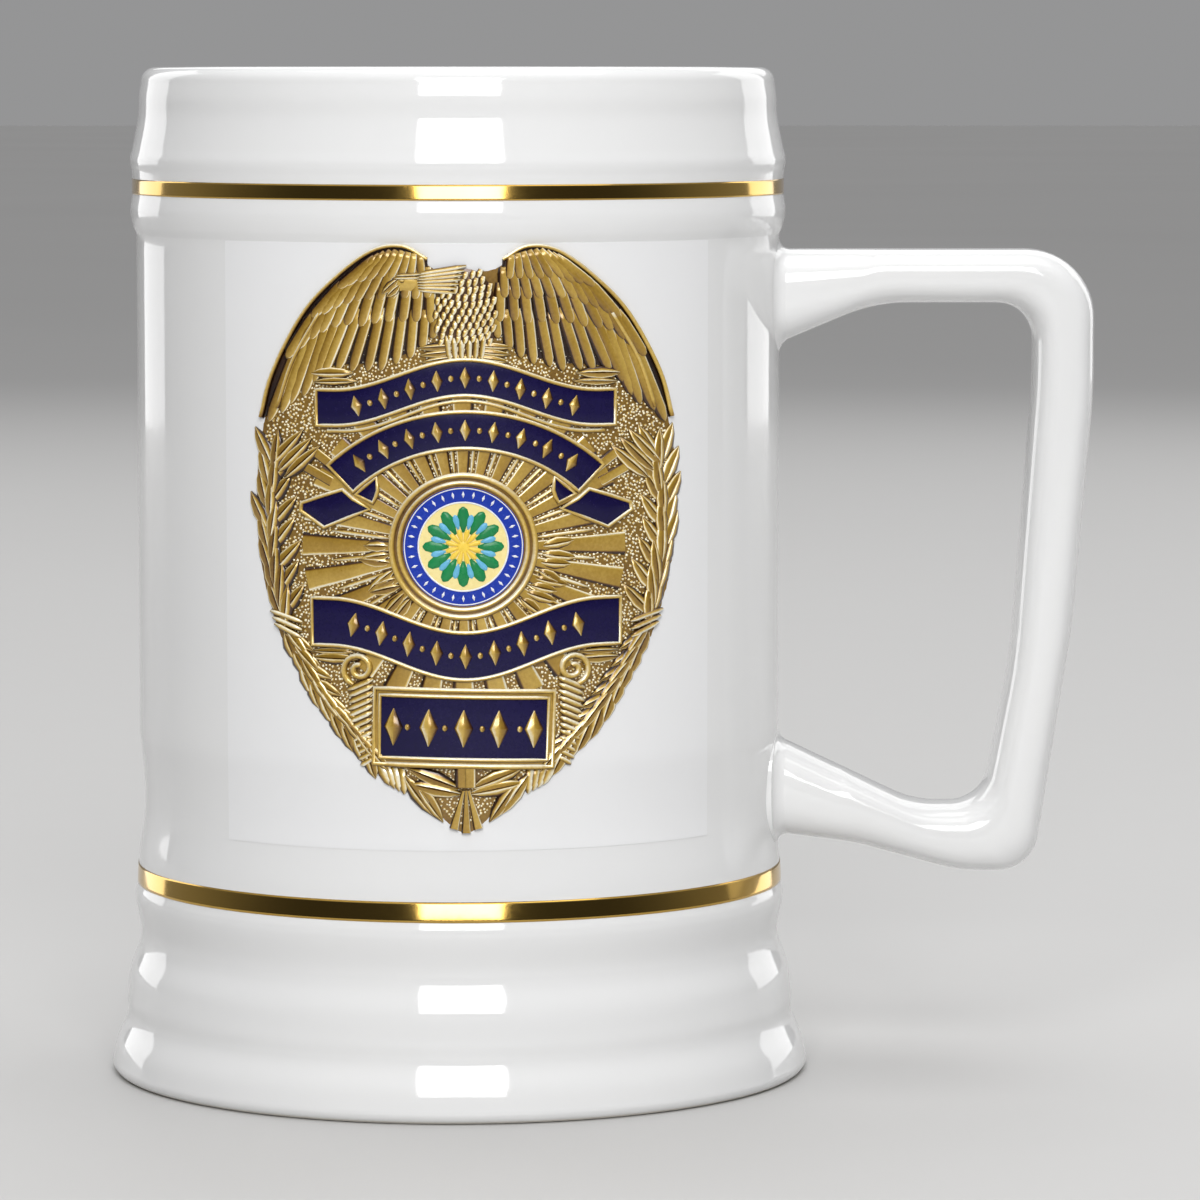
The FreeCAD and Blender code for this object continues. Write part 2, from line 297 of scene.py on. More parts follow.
# two tones, a range of gloss, slow and fine cloud scales with the fine share, skin depth in mm and strength
finishes = {
    "white_glaze": {"tones": ((0.80, 0.80, 0.795), (0.765, 0.768, 0.77)), "gloss": (0.045, 0.075),
                    "clouds": (26.0, 180.0, 0.2), "skin": (0.06, 0.35), "sockets": {"IOR": 1.52}},
    "lustre_gold": {"tones": ((0.64, 0.42, 0.105), (0.52, 0.32, 0.075)), "gloss": (0.07, 0.15),
                    "clouds": (90.0, 900.0, 0.5), "skin": (0.02, 0.3), "sockets": {"Metallic": 1.0}},
    "clear_film": {"tones": ((0.83, 0.833, 0.838), (0.81, 0.813, 0.82)), "gloss": (0.10, 0.16),
                   "clouds": (40.0, 500.0, 0.4), "skin": (0.02, 0.3), "sockets": {"IOR": 1.5}},
    "pale_floor": {"tones": ((0.57, 0.565, 0.557), (0.53, 0.526, 0.52)), "gloss": (0.5, 0.62),
                   "clouds": (1.4, 60.0, 0.3), "skin": None, "sockets": {"IOR": 1.4}},
}
footLook = {"biscuit": (0.70, 0.67, 0.61), "roughness": 0.75, "bareBelow": 0.35, "softness": 0.25}
lustreLean = -0.2    # how far the gold's skin leans back, as a slope


def useClouds(tree, sizes):
    slow, fine, fineShare = sizes
    return useEffect(tree, unevenness, Slow_Scale=slow, Fine_Scale=fine, Fine_Share=fineShare)


def makeFinish(name, look, toneFrom="Mask"):
    material, tree, shader = newMaterial(name, **look["sockets"])
    clouds = useClouds(tree, look["clouds"]).outputs
    tree.links.new(blendColours(tree, clouds[toneFrom], *look["tones"]), shader.inputs["Base Color"])
    tree.links.new(spread(tree, clouds["Height"], *look["gloss"]), shader.inputs["Roughness"])
    if look["skin"]:
        depth, strength = look["skin"]
        bump(tree, shader, clouds["Height"], depth * mm, strength)
    return material, tree, shader


def makeGlaze():
    # the ring that the stein stands on is left unglazed
    material, tree, shader = makeFinish("white_glaze", finishes["white_glaze"])
    bare = useEffect(tree, lowMask, Height=footLook["bareBelow"] * mm,
                     Softness=footLook["softness"] * mm).outputs["Mask"]
    glaze, gloss = (shader.inputs[label].links[0].from_socket for label in ("Base Color", "Roughness"))
    tree.links.new(blendColours(tree, bare, glaze, footLook["biscuit"]), shader.inputs["Base Color"])
    tree.links.new(spread(tree, bare, gloss, footLook["roughness"]), shader.inputs["Roughness"])
    return material


def makeLustre():
    # the liquid gold settles thicker along its lower edge, so its skin leans back
    material, tree, shader = makeFinish("lustre_gold", finishes["lustre_gold"])
    settled = maths(tree, "MULTIPLY", partsOf(tree, objectPlace(tree))["Z"], lustreLean)
    bump(tree, shader.inputs["Normal"].links[0].from_node, settled, 1.0, 1.0)
    return material


whiteGlaze = makeGlaze()
lustreGold = makeLustre()
clearFilm = makeFinish("clear_film", finishes["clear_film"])[0]
paleFloor = makeFinish("pale_floor", finishes["pale_floor"])[0]
print("glaze, lustre, film and floor materials ready")


# vessel and gold bands, turned from their profiles

def latheTree():
    # sweeps a profile chain, drawn as (radius - hub, height), round a circle of the hub's radius
    tree, given, out = newTree("lathe", [("Segments", "Int", 160), ("Hub", "Float", 0.001),
                                         ("Material", "Material", None)])
    path = putNode(tree, "GeometryNodeCurvePrimitiveCircle",
                   {"Resolution": given["Segments"], "Radius": given["Hub"]}, mode="RADIUS")
    swept = putNode(tree, "GeometryNodeCurveToMesh",
                    {"Curve": path.outputs["Curve"],
                     "Profile Curve": asCurve(tree, given["Geometry"])})
    merged = putNode(tree, "GeometryNodeMergeByDistance",
                     {"Geometry": swept.outputs["Mesh"], "Distance": doubles})
    soft = putNode(tree, "GeometryNodeSetShadeSmooth", {"Geometry": merged.outputs["Geometry"]})
    return finishTree(tree, given, out, soft.outputs["Geometry"])


lathe = latheTree()

vesselSizes = {
    "segments": 160,
    "baseRounding": 1.6, "footRing": 4.6, "recess": 3.0,
    "plinthStand": 2.02, "plinthHeight": 11.2,
    "beadHeight": 26.5, "beadStand": 0.76,
    "landBottom": 28.0, "landTop": 30.9, "landStand": 0.27, "landFoot": 0.40,
    "waistHeight": 38.8, "waistDepth": 0.73, "wallBottom": 50.0,
    "wallRadius": 46.93, "wallThickness": 5.0, "floorHeight": 9.0, "floorFillet": 8.0,
    "wallTopDepth": 24.2, "grooveBottomDepth": 18.3, "grooveTopDepth": 16.1,
    "rimBeadDepth": 13.3, "rimBeadStand": 0.86, "grooveStand": 0.54, "lipRadius": 2.1,
}


def vesselProfile():
    # (radius, height) runs from the underside's middle, up the outside and down to the floor's middle;
    # the numbers in them shape the curves between the named sizes
    v = vesselSizes
    top = steinHeight / mm
    baseRadius = bodyHigh.y / mm
    wall = v["wallRadius"]
    inner = wall - v["wallThickness"]
    footRadius = baseRadius - v["baseRounding"]
    plinth = wall + v["plinthStand"]
    bead = wall + v["beadStand"]
    groove = wall + v["grooveStand"]
    rimBead = wall + v["rimBeadStand"]
    footInner = footRadius - v["footRing"]
    lipHeight = top - v["lipRadius"]

    under = straightRun((0, v["recess"]), (footInner - v["recess"], v["recess"]), 8)
    under += arcRun((footInner - v["recess"], 0), v["recess"], 90, 0, 6)[1:]
    under += straightRun((footInner, 0), (footRadius, 0), 3)[1:]
    under += arcRun((footRadius, v["baseRounding"]), v["baseRounding"], -90, 0, 8)[1:]
    foot = smoothRun([(baseRadius, v["baseRounding"]),
                      (plinth + 0.68 * (baseRadius - plinth), v["plinthHeight"] - 6.5),
                      (plinth + 0.1, v["plinthHeight"] - 3.0),
                      (plinth, v["plinthHeight"]),
                      (wall + 0.75 * v["plinthStand"], v["plinthHeight"] + 4.1),
                      (wall + 0.13 * v["plinthStand"], v["plinthHeight"] + 7.6),
                      (wall, v["beadHeight"] - 5.3),
                      (wall + 0.85 * v["beadStand"], v["beadHeight"] - 1.7),
                      (bead, v["beadHeight"]),
                      (wall + v["landFoot"], v["landBottom"])], 8)
    waist = smoothRun([(wall + v["landStand"], v["landTop"]),
                       (wall + 0.07, v["landTop"] + 2.1),
                       (wall - v["waistDepth"], v["waistHeight"]),
                       (wall - 0.8 * v["waistDepth"], v["wallBottom"] - 5.6),
                       (wall, v["wallBottom"])], 8)
    plain = straightRun((wall, v["wallBottom"]), (wall, top - v["wallTopDepth"]), 40)
    lowerBead = smoothRun([(wall, top - v["wallTopDepth"]),
                           (wall + 0.66 * v["rimBeadStand"], top - v["wallTopDepth"] + 1.5),
                           (rimBead, top - v["grooveBottomDepth"] - 2.4),
                           (groove, top - v["grooveBottomDepth"])], 8)
    rim = smoothRun([(groove, top - v["grooveTopDepth"]),
                     (groove + 0.12, top - v["grooveTopDepth"] + 1.2),
                     (rimBead, top - v["rimBeadDepth"]),
                     (wall + 0.4, top - v["rimBeadDepth"] + 2.1),
                     (inner + 2 * v["lipRadius"] + 0.42, top - 7.1),
                     (inner + 2 * v["lipRadius"] + 0.29, top - 4.3),
                     (inner + 2 * v["lipRadius"], lipHeight)], 8)
    lip = arcRun((inner + v["lipRadius"], lipHeight), v["lipRadius"], 0, 180, 20)
    bore = straightRun((inner, lipHeight), (inner, v["floorHeight"] + v["floorFillet"]), 40)
    bend = arcRun((inner - v["floorFillet"], v["floorHeight"] + v["floorFillet"]),
                  v["floorFillet"], 0, -90, 10)
    floor = straightRun((inner - v["floorFillet"], v["floorHeight"]), (0, v["floorHeight"]), 8)

    profile = under
    for run in (foot, waist, plain, lowerBead, rim, lip, bore, bend, floor):
        first = 1 if (run[0] - profile[-1]).length < 0.001 else 0
        profile += run[first:]
    return profile


def turned(name, profile, material, segments, closed=False):
    hub = 1.0    # radius of the sweep's circle
    points = [((p[0] - hub) * mm, -p[1] * mm, 0) for p in reversed(profile)]
    return grow(name, lineMesh(name, points, closed), lathe,
                {"Segments": segments, "Hub": hub * mm, "Material": material})


steinBody = turned("stein_vessel", vesselProfile(), whiteGlaze, vesselSizes["segments"])
print("vessel turned:", len(steinBody.data.polygons), "faces")

# depth of the gold under its land, at its edges and in its middle
bandLook = {"sink": 0.06, "edge": 0.05, "crown": 0.07, "steps": 8}


def bandSection(lowPoint, highPoint):
    # thin crowned strip on a straight land, as a closed loop
    low, high = Vector(lowPoint), Vector(highPoint)
    outwards = Vector((high.y - low.y, low.x - high.x)).normalized()
    outer = []
    for i in range(bandLook["steps"] + 1):
        share = i / bandLook["steps"]
        rise = (bandLook["crown"] - bandLook["edge"]) * math.sin(math.pi * share) ** 0.5
        swell = bandLook["edge"] + rise
        outer.append(low.lerp(high, share) + outwards * swell)
    return [low - outwards * bandLook["sink"]] + outer + [high - outwards * bandLook["sink"]]


wallRadius = vesselSizes["wallRadius"]
grooveRadius = wallRadius + vesselSizes["grooveStand"]
bandPlaces = {
    "upper_gold_band": ((grooveRadius, upperBandLow.z / mm), (grooveRadius, upperBandHigh.z / mm)),
    "lower_gold_band": ((wallRadius + vesselSizes["landFoot"], lowerBandLow.z / mm),
                        (wallRadius + vesselSizes["landStand"], lowerBandHigh.z / mm)),
}
goldBands = {name: turned(name.replace("band", "line"), bandSection(*ends), lustreGold,
                          vesselSizes["segments"], closed=True)
             for name, ends in bandPlaces.items()}
print("gold bands turned")


# handle, lofted between its outer and inner outlines
handleSizes = {"topArm": 7.8, "grip": 8.8, "lowerArm": 9.8, "gripLean": 8.5, "root": 14.8,
               "gripCurve": 90.0, "sectionPower": 3.0, "sectionPoints": 56, "slip": 1.8, "intoWall": 0.4}


def bendRun(corners, arcSteps=12, sideSteps=6):
    # chain through (x, z, radius) corners, with the same count of points for any such list of equal length
    places = [Vector(corner[:2]) for corner in corners]
    ends = [(places[0], places[0])]
    chain = [places[0]]
    for i in range(1, len(places) - 1):
        back = (places[i - 1] - places[i]).normalized()
        onward = (places[i + 1] - places[i]).normalized()
        half = back.angle(onward) / 2
        room = min((places[i - 1] - places[i]).length, (places[i + 1] - places[i]).length)
        length = min(corners[i][2] / math.tan(half), 0.48 * room)
        start, end = places[i] + back * length, places[i] + onward * length
        chain += straightRun(ends[-1][1], start, sideSteps)[1:]
        if math.pi - 2 * half < 0.01:
            chain += straightRun(start, end, arcSteps)[1:]
        else:
            centre = places[i] + (back + onward).normalized() * (length / math.cos(half))
            turn = math.pi - 2 * half
            for step in range(1, arcSteps + 1):
                t = step / arcSteps
                chain.append(centre + ((start - centre) * math.sin((1 - t) * turn)
                                       + (end - centre) * math.sin(t * turn)) / math.sin(turn))
        ends.append((start, end))
    return chain + straightRun(ends[-1][1], places[-1], sideSteps)[1:]


def atX(a, b, x):
    # the point of the line from a to b that has this x
    share = (x - a[0]) / (b[0] - a[0])
    return (x, a[1] + (b[1] - a[1]) * share, 0)


def handleOutlines():
    # corners as x, z and rounding; the fractions place them along the reach and the height
    h = handleSizes
    out, top, low = handleHigh.x / mm, handleHigh.z / mm, handleLow.z / mm
    tall, reach = top - low, out - wallRadius
    gripIn = out - h["grip"]
    start = wallRadius - h["intoWall"]
    deep = wallRadius - 2.75    # where the roots' lines are drawn from, inside the wall
    lowOuterEnd, lowInnerEnd = low + 0.6 * h["lowerArm"], low + 0.6 * h["lowerArm"] + h["root"]
    topKnee = (wallRadius + 0.3 * reach, top - h["topArm"])
    lowKnee = (wallRadius + 0.437 * reach, low + h["lowerArm"])
    lowOuterKnee = (wallRadius + 0.24 * reach, low + 0.43 * h["lowerArm"])
    outer = [(start, top, 0), (topKnee[0], top, 25), (out, top, 12),
             (out, top - 0.226 * tall, h["gripCurve"]),
             (out - 0.34 * h["gripLean"], top - 0.6 * tall, h["gripCurve"]),
             (out - h["gripLean"], low, 7),
             (wallRadius + 0.58 * reach, low, 25), (*lowOuterKnee, 40),
             atX((deep, lowOuterEnd), lowOuterKnee, start)]
    inner = [atX((deep, top - h["root"]), topKnee, start), (*topKnee, 25), (gripIn, topKnee[1], 7.5),
             (gripIn, top - 0.21 * tall, h["gripCurve"]),
             (gripIn - 0.36 * h["gripLean"], lowKnee[1] + 0.23 * tall, h["gripCurve"]),
             (gripIn - 0.83 * h["gripLean"], lowKnee[1], 7.5), (*lowKnee, 15),
             atX((deep, lowInnerEnd), lowKnee, wallRadius + 0.2 * reach),
             atX((deep, lowInnerEnd), lowKnee, start)]
    return bendRun(outer), bendRun(inner)


def superRound(turn, power):
    # a point of the unit rounded square, for a turn in radians
    c, s = math.cos(turn), math.sin(turn)
    return (math.copysign(abs(c) ** (2 / power), c), math.copysign(abs(s) ** (2 / power), s))


def ringFaces(rings, count, loop=False):
    # quads between rings of equally many points; the ends are capped unless the rings form a loop
    faces = []
    for i in range(rings if loop else rings - 1):
        first, second = i * count, (i + 1) % rings * count
        faces += [(first + j, first + (j + 1) % count, second + (j + 1) % count, second + j)
                  for j in range(count)]
    if not loop:
        faces += [tuple(range(count))[::-1], tuple((rings - 1) * count + j for j in range(count))]
    return faces


def meshFromRings(name, rings, loop=False, material=None):
    mesh = bpy.data.meshes.new(name)
    mesh.from_pydata([Vector(p) * mm for ring in rings for p in ring], [],
                     ringFaces(len(rings), len(rings[0]), loop))
    return closeMesh(mesh, material=material)


def closeMesh(mesh, sharpAngle=50, material=None):
    # one closed skin with its faces outwards and its sharp edges marked
    work = bmesh.new()
    work.from_mesh(mesh)
    bmesh.ops.remove_doubles(work, verts=work.verts, dist=doubles / 2)
    bmesh.ops.recalc_face_normals(work, faces=work.faces)
    if work.calc_volume(signed=True) < 0:
        bmesh.ops.reverse_faces(work, faces=work.faces)
    work.to_mesh(mesh)
    work.free()
    mesh.shade_smooth()
    mesh.set_sharp_from_angle(angle=math.radians(sharpAngle))
    if material:
        mesh.materials.append(material)
    return mesh


def handleRings():
    outer, inner = handleOutlines()
    h = handleSizes
    halfWidth = handleHigh.y / mm
    rings = []
    for a, b in zip(outer, inner):
        middle, half = (a + b) / 2, (a - b) / 2
        ring = []
        for j in range(h["sectionPoints"]):
            u, v = superRound(2 * math.pi * j / h["sectionPoints"], h["sectionPower"])
            across = middle + half * u
            ring.append(Vector((across.x, halfWidth * v, across.y)))
        rings.append(ring)
    for ring in (rings[0], rings[-1]):    # both ends follow the wall, just inside its surface
        for p in ring:
            p.x = math.sqrt((wallRadius - h["intoWall"]) ** 2 - p.y ** 2)
    return rings


handleSkin = handleRings()
steinHandle = newObject("stein_handle", meshFromRings("stein_handle", handleSkin, material=whiteGlaze))
print("handle lofted:", len(steinHandle.data.polygons), "faces")


def slipRing(name, sections):
    # concave bead of joining slip between the wall and the handle, as a closed loop of small sections
    size = handleSizes["slip"]
    count = handleSizes["sectionPoints"]
    middle = sum(sections[0], Vector()) / count
    sink = 0.03    # how far the bead's edges go into the wall and the handle

    def onHandle(j, distance):
        # follows the handle's skin outwards from the wall by this much
        track = [section[j] for section in sections]
        wallX = math.sqrt(wallRadius ** 2 - track[0].y ** 2)
        for a, b in zip(track, track[1:]):
            if b.x > wallX + distance:
                return a.lerp(b, (wallX + distance - a.x) / (b.x - a.x))
        return track[-1].copy()

    rings = []
    for j in range(count):
        root = onHandle(j, 0.0)
        before, after = sections[0][j - 1], sections[0][(j + 1) % count]
        along = Vector((0, after.y - before.y, after.z - before.z))
        aside = along.cross(Vector((1, 0, 0))).normalized()
        if aside.dot(root - middle) < 0:
            aside.negate()
        foot = root + aside * size
        foot.x = math.sqrt(wallRadius ** 2 - foot.y ** 2) - sink
        top = onHandle(j, size) - aside * sink
        curve = []
        for step in range(8):
            t = step / 7
            curve.append(foot * (1 - t) ** 2 + root * 2 * t * (1 - t) + top * t ** 2)
        inwards = Vector((0.8, 0, 0))    # the hidden side of the bead
        hidden = [top - aside * 0.6, root - aside * 0.6 - inwards, foot - inwards]
        rings.append(curve + hidden)
    return newObject(name, meshFromRings(name, rings, loop=True, material=whiteGlaze))


upperSlip = slipRing("upper_root_slip", handleSkin[:14])
lowerSlip = slipRing("lower_root_slip", handleSkin[:-15:-1])
print("slip beads laid")


# badge print: drawn flat in the XZ plane, then laid on the wall
badge = {"height": 82.2, "topMargin": 0.2, "medallion": (-0.3, 40.2)}
badgeMiddle = (badgeLow.x + badgeHigh.x) / 2
artScale = (filmHigh.z - badge["topMargin"] * mm - badgeLow.z) / badge["height"]


def art(a, b, lift=0.0):
    # a across from the badge's axis, b up from its tip, lift out of the wall
    return Vector((badgeMiddle + a * artScale, -lift * mm, badgeLow.z + b * artScale))


def shade(red, green, blue):
    # screen colour, 0 to 255, as scene-linear values
    return tuple((c / 255 / 12.92) if c <= 10 else ((c / 255 + 0.055) / 1.055) ** 2.4
                 for c in (red, green, blue))


def rampedColour(tree, value, stops):
    ramp = putNode(tree, "ShaderNodeValToRGB", {"Fac": value})
    while len(ramp.color_ramp.elements) < len(stops):
        ramp.color_ramp.elements.new(0.5)
    for element, (place, colour) in zip(ramp.color_ramp.elements, stops):
        element.position = place
        element.color = (*shade(*colour), 1)
    return ramp.outputs["Color"]


def attribute(tree, name):
    return putNode(tree, "ShaderNodeAttribute", attribute_name=name).outputs["Fac"]


# tone runs from painted shade (dark brown) through olive gold to painted highlight (pale cream)
printGoldLook = {
    "stops": [(0.0, (30, 11, 4)), (0.2, (88, 52, 16)), (0.48, (168, 132, 45)),
              (0.70, (214, 180, 88)), (0.95, (255, 250, 226))],
    "clouds": (160.0, 2400.0, 0.5), "drift": 0.35, "tint": 0.14, "gloss": (0.22, 0.40), "skin": (0.03, 0.6),
}


def makePrintGold():
    # tone and tint come from the motifs: tone paints shade and highlight on each one, from its dark to its
    # pale edge
    look = printGoldLook
    material, tree, shader = newMaterial("print_gold", Metallic=0.25, IOR=1.5,
                                         Coat_Weight=0.6, Coat_Roughness=0.12)
    clouds = useClouds(tree, look["clouds"]).outputs["Height"]
    drift = maths(tree, "SUBTRACT", clouds, 0.5)
    vary = maths(tree, "SUBTRACT", attribute(tree, "tint"), 0.5)
    level = maths(tree, "MULTIPLY_ADD", drift, look["drift"], attribute(tree, "tone"))
    level = maths(tree, "MULTIPLY_ADD", vary, look["tint"], level)
    tree.links.new(rampedColour(tree, level, look["stops"]), shader.inputs["Base Color"])
    tree.links.new(spread(tree, clouds, *look["gloss"]), shader.inputs["Roughness"])
    bump(tree, shader, clouds, look["skin"][0] * mm, look["skin"][1])
    return material


# deep and light tone of each glossy fill, as screen colours
enamelTones = {
    "navy": ((6, 4, 40), (24, 14, 74)),
    "blue": ((18, 44, 142), (34, 66, 184)),
    "cream": ((236, 214, 130), (250, 236, 176)),
    "green": ((18, 112, 66), (40, 148, 84)),
    "sky": ((70, 160, 205), (130, 200, 230)),
    "white": ((226, 230, 236), (250, 250, 250)),
    "lemon": ((238, 196, 60), (250, 220, 96)),
}
enamelLook = {"gloss": (0.2, 0.34), "clouds": (60.0, 1500.0, 0.5), "skin": (0.02, 0.4),
              "sockets": {"IOR": 1.36}}

printGold = makePrintGold()
enamels = {name: makeFinish(name + "_enamel", {**enamelLook, "tones": [shade(*tone) for tone in tones]},
                            "Height")[0] for name, tones in enamelTones.items()}
print("print materials ready")


# a fine copy of the wall, only for the print to lie on
guideLook = {"inside": 1.0, "outside": 0.4, "bottom": 31, "topDepth": 24, "segments": 1440}


def onGuide(p):
    g = guideLook
    return (wallRadius - g["inside"] < p.x < wallRadius + g["outside"]
            and g["bottom"] < p.y < steinHeight / mm - g["topDepth"])


wallGuide = turned("wall_guide", [p for p in vesselProfile() if onGuide(p)], None, guideLook["segments"])


def wallLayTree():
    # each point is led straight back to the wall, then out again by its own lift
    tree, given, out = newTree("lay on wall", [("Wall", "Object", None), ("Material", "Material", None)])
    before, length = -0.2, 0.4    # metres: from well before the print to well past the wall
    place = partsOf(tree, putNode(tree, "GeometryNodeInputPosition").outputs[0])
    start = vectorOf(tree, X=place["X"], Y=before, Z=place["Z"])
    hit = putNode(tree, "GeometryNodeRaycast",
                  {"Target Geometry": geometryOf(tree, given["Wall"]), "Source Position": start,
                   "Ray Direction": (0, 1, 0), "Ray Length": length})
    lift = maths(tree, "MULTIPLY", place["Y"], -1.0)
    outwards = putNode(tree, "ShaderNodeVectorMath", {0: hit.outputs["Hit Normal"], "Scale": lift},
                       operation="SCALE").outputs["Vector"]
    target = vectorMaths(tree, "ADD", hit.outputs["Hit Position"], outwards)
    moved = putNode(tree, "GeometryNodeSetPosition", {"Geometry": given["Geometry"],
                                                      "Position": target})
    return finishTree(tree, given, out, moved.outputs["Geometry"])


wallLay = wallLayTree()


def layAndPaint(tree, given, out, geometry):
    # the common end of the print trees
    real = putNode(tree, "GeometryNodeRealizeInstances", {"Geometry": geometry})
    laid = putNode(tree, "GeometryNodeGroup",
                   {"Geometry": real.outputs["Geometry"], "Wall": given["Wall"],
                    "Material": given["Material"]}, node_tree=wallLay)
    return finishTree(tree, given, out, laid.outputs["Geometry"])


def evenly(tree, line, count):
    return putNode(tree, "GeometryNodeResampleCurve", {"Curve": asCurve(tree, line), "Count": count},
                   mode="COUNT").outputs[0]


def randomShare(tree, seed, offset):
    # a fixed random 0 to 1 for each element; every use in a tree has its own offset
    number = maths(tree, "ADD", seed, offset)
    return putNode(tree, "FunctionNodeRandomValue", {"Seed": number}, data_type="FLOAT").outputs[1]


def spanTree():
    # sets a motif again and again between two guide lines, each from the near line to the far one
    tree, given, out = newTree("span motifs", [
        ("Far Line", "Object", None), ("Motif", "Object", None), ("Count", "Int", 10),
        ("Near Width", "Float", 0.002), ("Far Width", "Float", 0.002), ("Relief", "Float", 0.0003),
        ("Lift", "Float", 0.0001), ("Length Play", "Float", 0.0), ("Turn Play", "Float", 0.0),
        ("Seed", "Int", 1), ("Wall", "Object", None), ("Material", "Material", None)])
    count, seed = given["Count"], given["Seed"]
    near = evenly(tree, given["Geometry"], count)
    far = evenly(tree, geometryOf(tree, given["Far Line"]), count)
    place = putNode(tree, "GeometryNodeInputPosition").outputs[0]
    index = putNode(tree, "GeometryNodeInputIndex").outputs[0]
    farPlace = putNode(tree, "GeometryNodeSampleIndex", {"Geometry": far, "Value": place, "Index": index},
                       data_type="FLOAT_VECTOR", domain="POINT").outputs[0]
    reach = vectorMaths(tree, "SUBTRACT", farPlace, place)

    lengthPlay = maths(tree, "MULTIPLY_ADD", maths(tree, "SUBTRACT", randomShare(tree, seed, 0), 0.5),
                       given["Length Play"], 1.0)
    length = maths(tree, "MULTIPLY", vectorMaths(tree, "LENGTH", reach), lengthPlay)
    turnPlay = maths(tree, "MULTIPLY", maths(tree, "SUBTRACT", randomShare(tree, seed, 7), 0.5),
                     given["Turn Play"])
    parts = partsOf(tree, reach)
    turn = maths(tree, "ADD", maths(tree, "ARCTAN2", parts["X"], parts["Z"]), turnPlay)
    last = maths(tree, "MAXIMUM", maths(tree, "SUBTRACT", count, 1), 1)
    width = putNode(tree, "ShaderNodeMix", {0: maths(tree, "DIVIDE", index, last),
                                            2: given["Near Width"],
                                            3: given["Far Width"]}).outputs[0]

    planted = putNode(tree, "GeometryNodeInstanceOnPoints",
                      {"Points": near, "Instance": geometryOf(tree, given["Motif"]),
                       "Rotation": vectorOf(tree, Y=turn),
                       "Scale": vectorOf(tree, X=width, Y=given["Relief"], Z=length)})
    lift = maths(tree, "MULTIPLY", given["Lift"], -1.0)
    raised = putNode(tree, "GeometryNodeTranslateInstances",
                     {"Instances": planted.outputs["Instances"], "Local Space": False,
                      "Translation": vectorOf(tree, Y=lift)})
    tinted = stored(tree, raised.outputs["Instances"], "tint", randomShare(tree, seed, 13), "INSTANCE")
    return layAndPaint(tree, given, out, tinted)


# painted light on a wire: the direction its painted highlight faces, how far that reaches, and the tones at
# its ends, from painted shade to painted highlight
wireShading = {"paintedLightFrom": (-0.35, -0.35, 0.85), "reach": (-0.8, 0.9), "tones": (0.12, 1.0)}


def toneFromNormal(tree, geometry):
    # paints highlight and shade on the wire from its normal: pale where it faces the painted light, dark away
    # from it
    w = wireShading
    normal = putNode(tree, "GeometryNodeInputNormal").outputs[0]
    facing = putNode(tree, "ShaderNodeVectorMath", {0: normal, 1: w["paintedLightFrom"]},
                     operation="DOT_PRODUCT").outputs["Value"]
    tone = putNode(tree, "ShaderNodeMapRange",
                   {"Value": facing, "From Min": w["reach"][0], "From Max": w["reach"][1],
                    "To Min": w["tones"][0], "To Max": w["tones"][1]}).outputs["Result"]
    return stored(tree, geometry, "tone", tone)


def pipingTree():
    # round wire along a line, sunk to its middle in what it lies on
    tree, given, out = newTree("piping", [("Radius", "Float", 0.0003), ("Lift", "Float", 0.0003),
                                          ("Wall", "Object", None), ("Material", "Material", None)])
    section = putNode(tree, "GeometryNodeCurvePrimitiveCircle",
                      {"Resolution": 8, "Radius": given["Radius"]}, mode="RADIUS").outputs[0]
    wire = putNode(tree, "GeometryNodeCurveToMesh",
                   {"Curve": asCurve(tree, given["Geometry"]), "Profile Curve": section,
                    "Fill Caps": True}).outputs[0]
    tinted = stored(tree, toneFromNormal(tree, wire), "tint", 0.5)
    soft = putNode(tree, "GeometryNodeSetShadeSmooth", {"Geometry": tinted}).outputs["Geometry"]
    lift = maths(tree, "MULTIPLY", given["Lift"], -1.0)
    raised = putNode(tree, "GeometryNodeSetPosition", {"Geometry": soft, "Offset": vectorOf(tree, Y=lift)})
    return layAndPaint(tree, given, out, raised.outputs["Geometry"])


def grainTree():
    # fine raised grain scattered over the flat ground, as close as its spacing lets it
    densest = 9000000.0    # grains in a square metre
    tree, given, out = newTree("grain", [
        ("Grain", "Object", None), ("Spacing", "Float", 0.0005), ("Smallest", "Float", 0.0002),
        ("Largest", "Float", 0.0004), ("Seed", "Int", 1), ("Wall", "Object", None),
        ("Material", "Material", None)])
    seed = given["Seed"]
    scattered = putNode(tree, "GeometryNodeDistributePointsOnFaces",
                        {"Mesh": given["Geometry"], "Distance Min": given["Spacing"],
                         "Density Max": densest, "Seed": seed}, distribute_method="POISSON")
    size = putNode(tree, "ShaderNodeMix", {0: randomShare(tree, seed, 3), 2: given["Smallest"],
                                           3: given["Largest"]}).outputs[0]
    turn = maths(tree, "MULTIPLY", randomShare(tree, seed, 5), 2 * math.pi)
    strewn = putNode(tree, "GeometryNodeInstanceOnPoints",
                     {"Points": scattered.outputs["Points"], "Scale": size,
                      "Instance": geometryOf(tree, given["Grain"]),
                      "Rotation": vectorOf(tree, Y=turn)})
    tinted = stored(tree, strewn.outputs["Instances"], "tint", randomShare(tree, seed, 11), "INSTANCE")
    return layAndPaint(tree, given, out, tinted)


spans, pipings, grains = spanTree(), pipingTree(), grainTree()
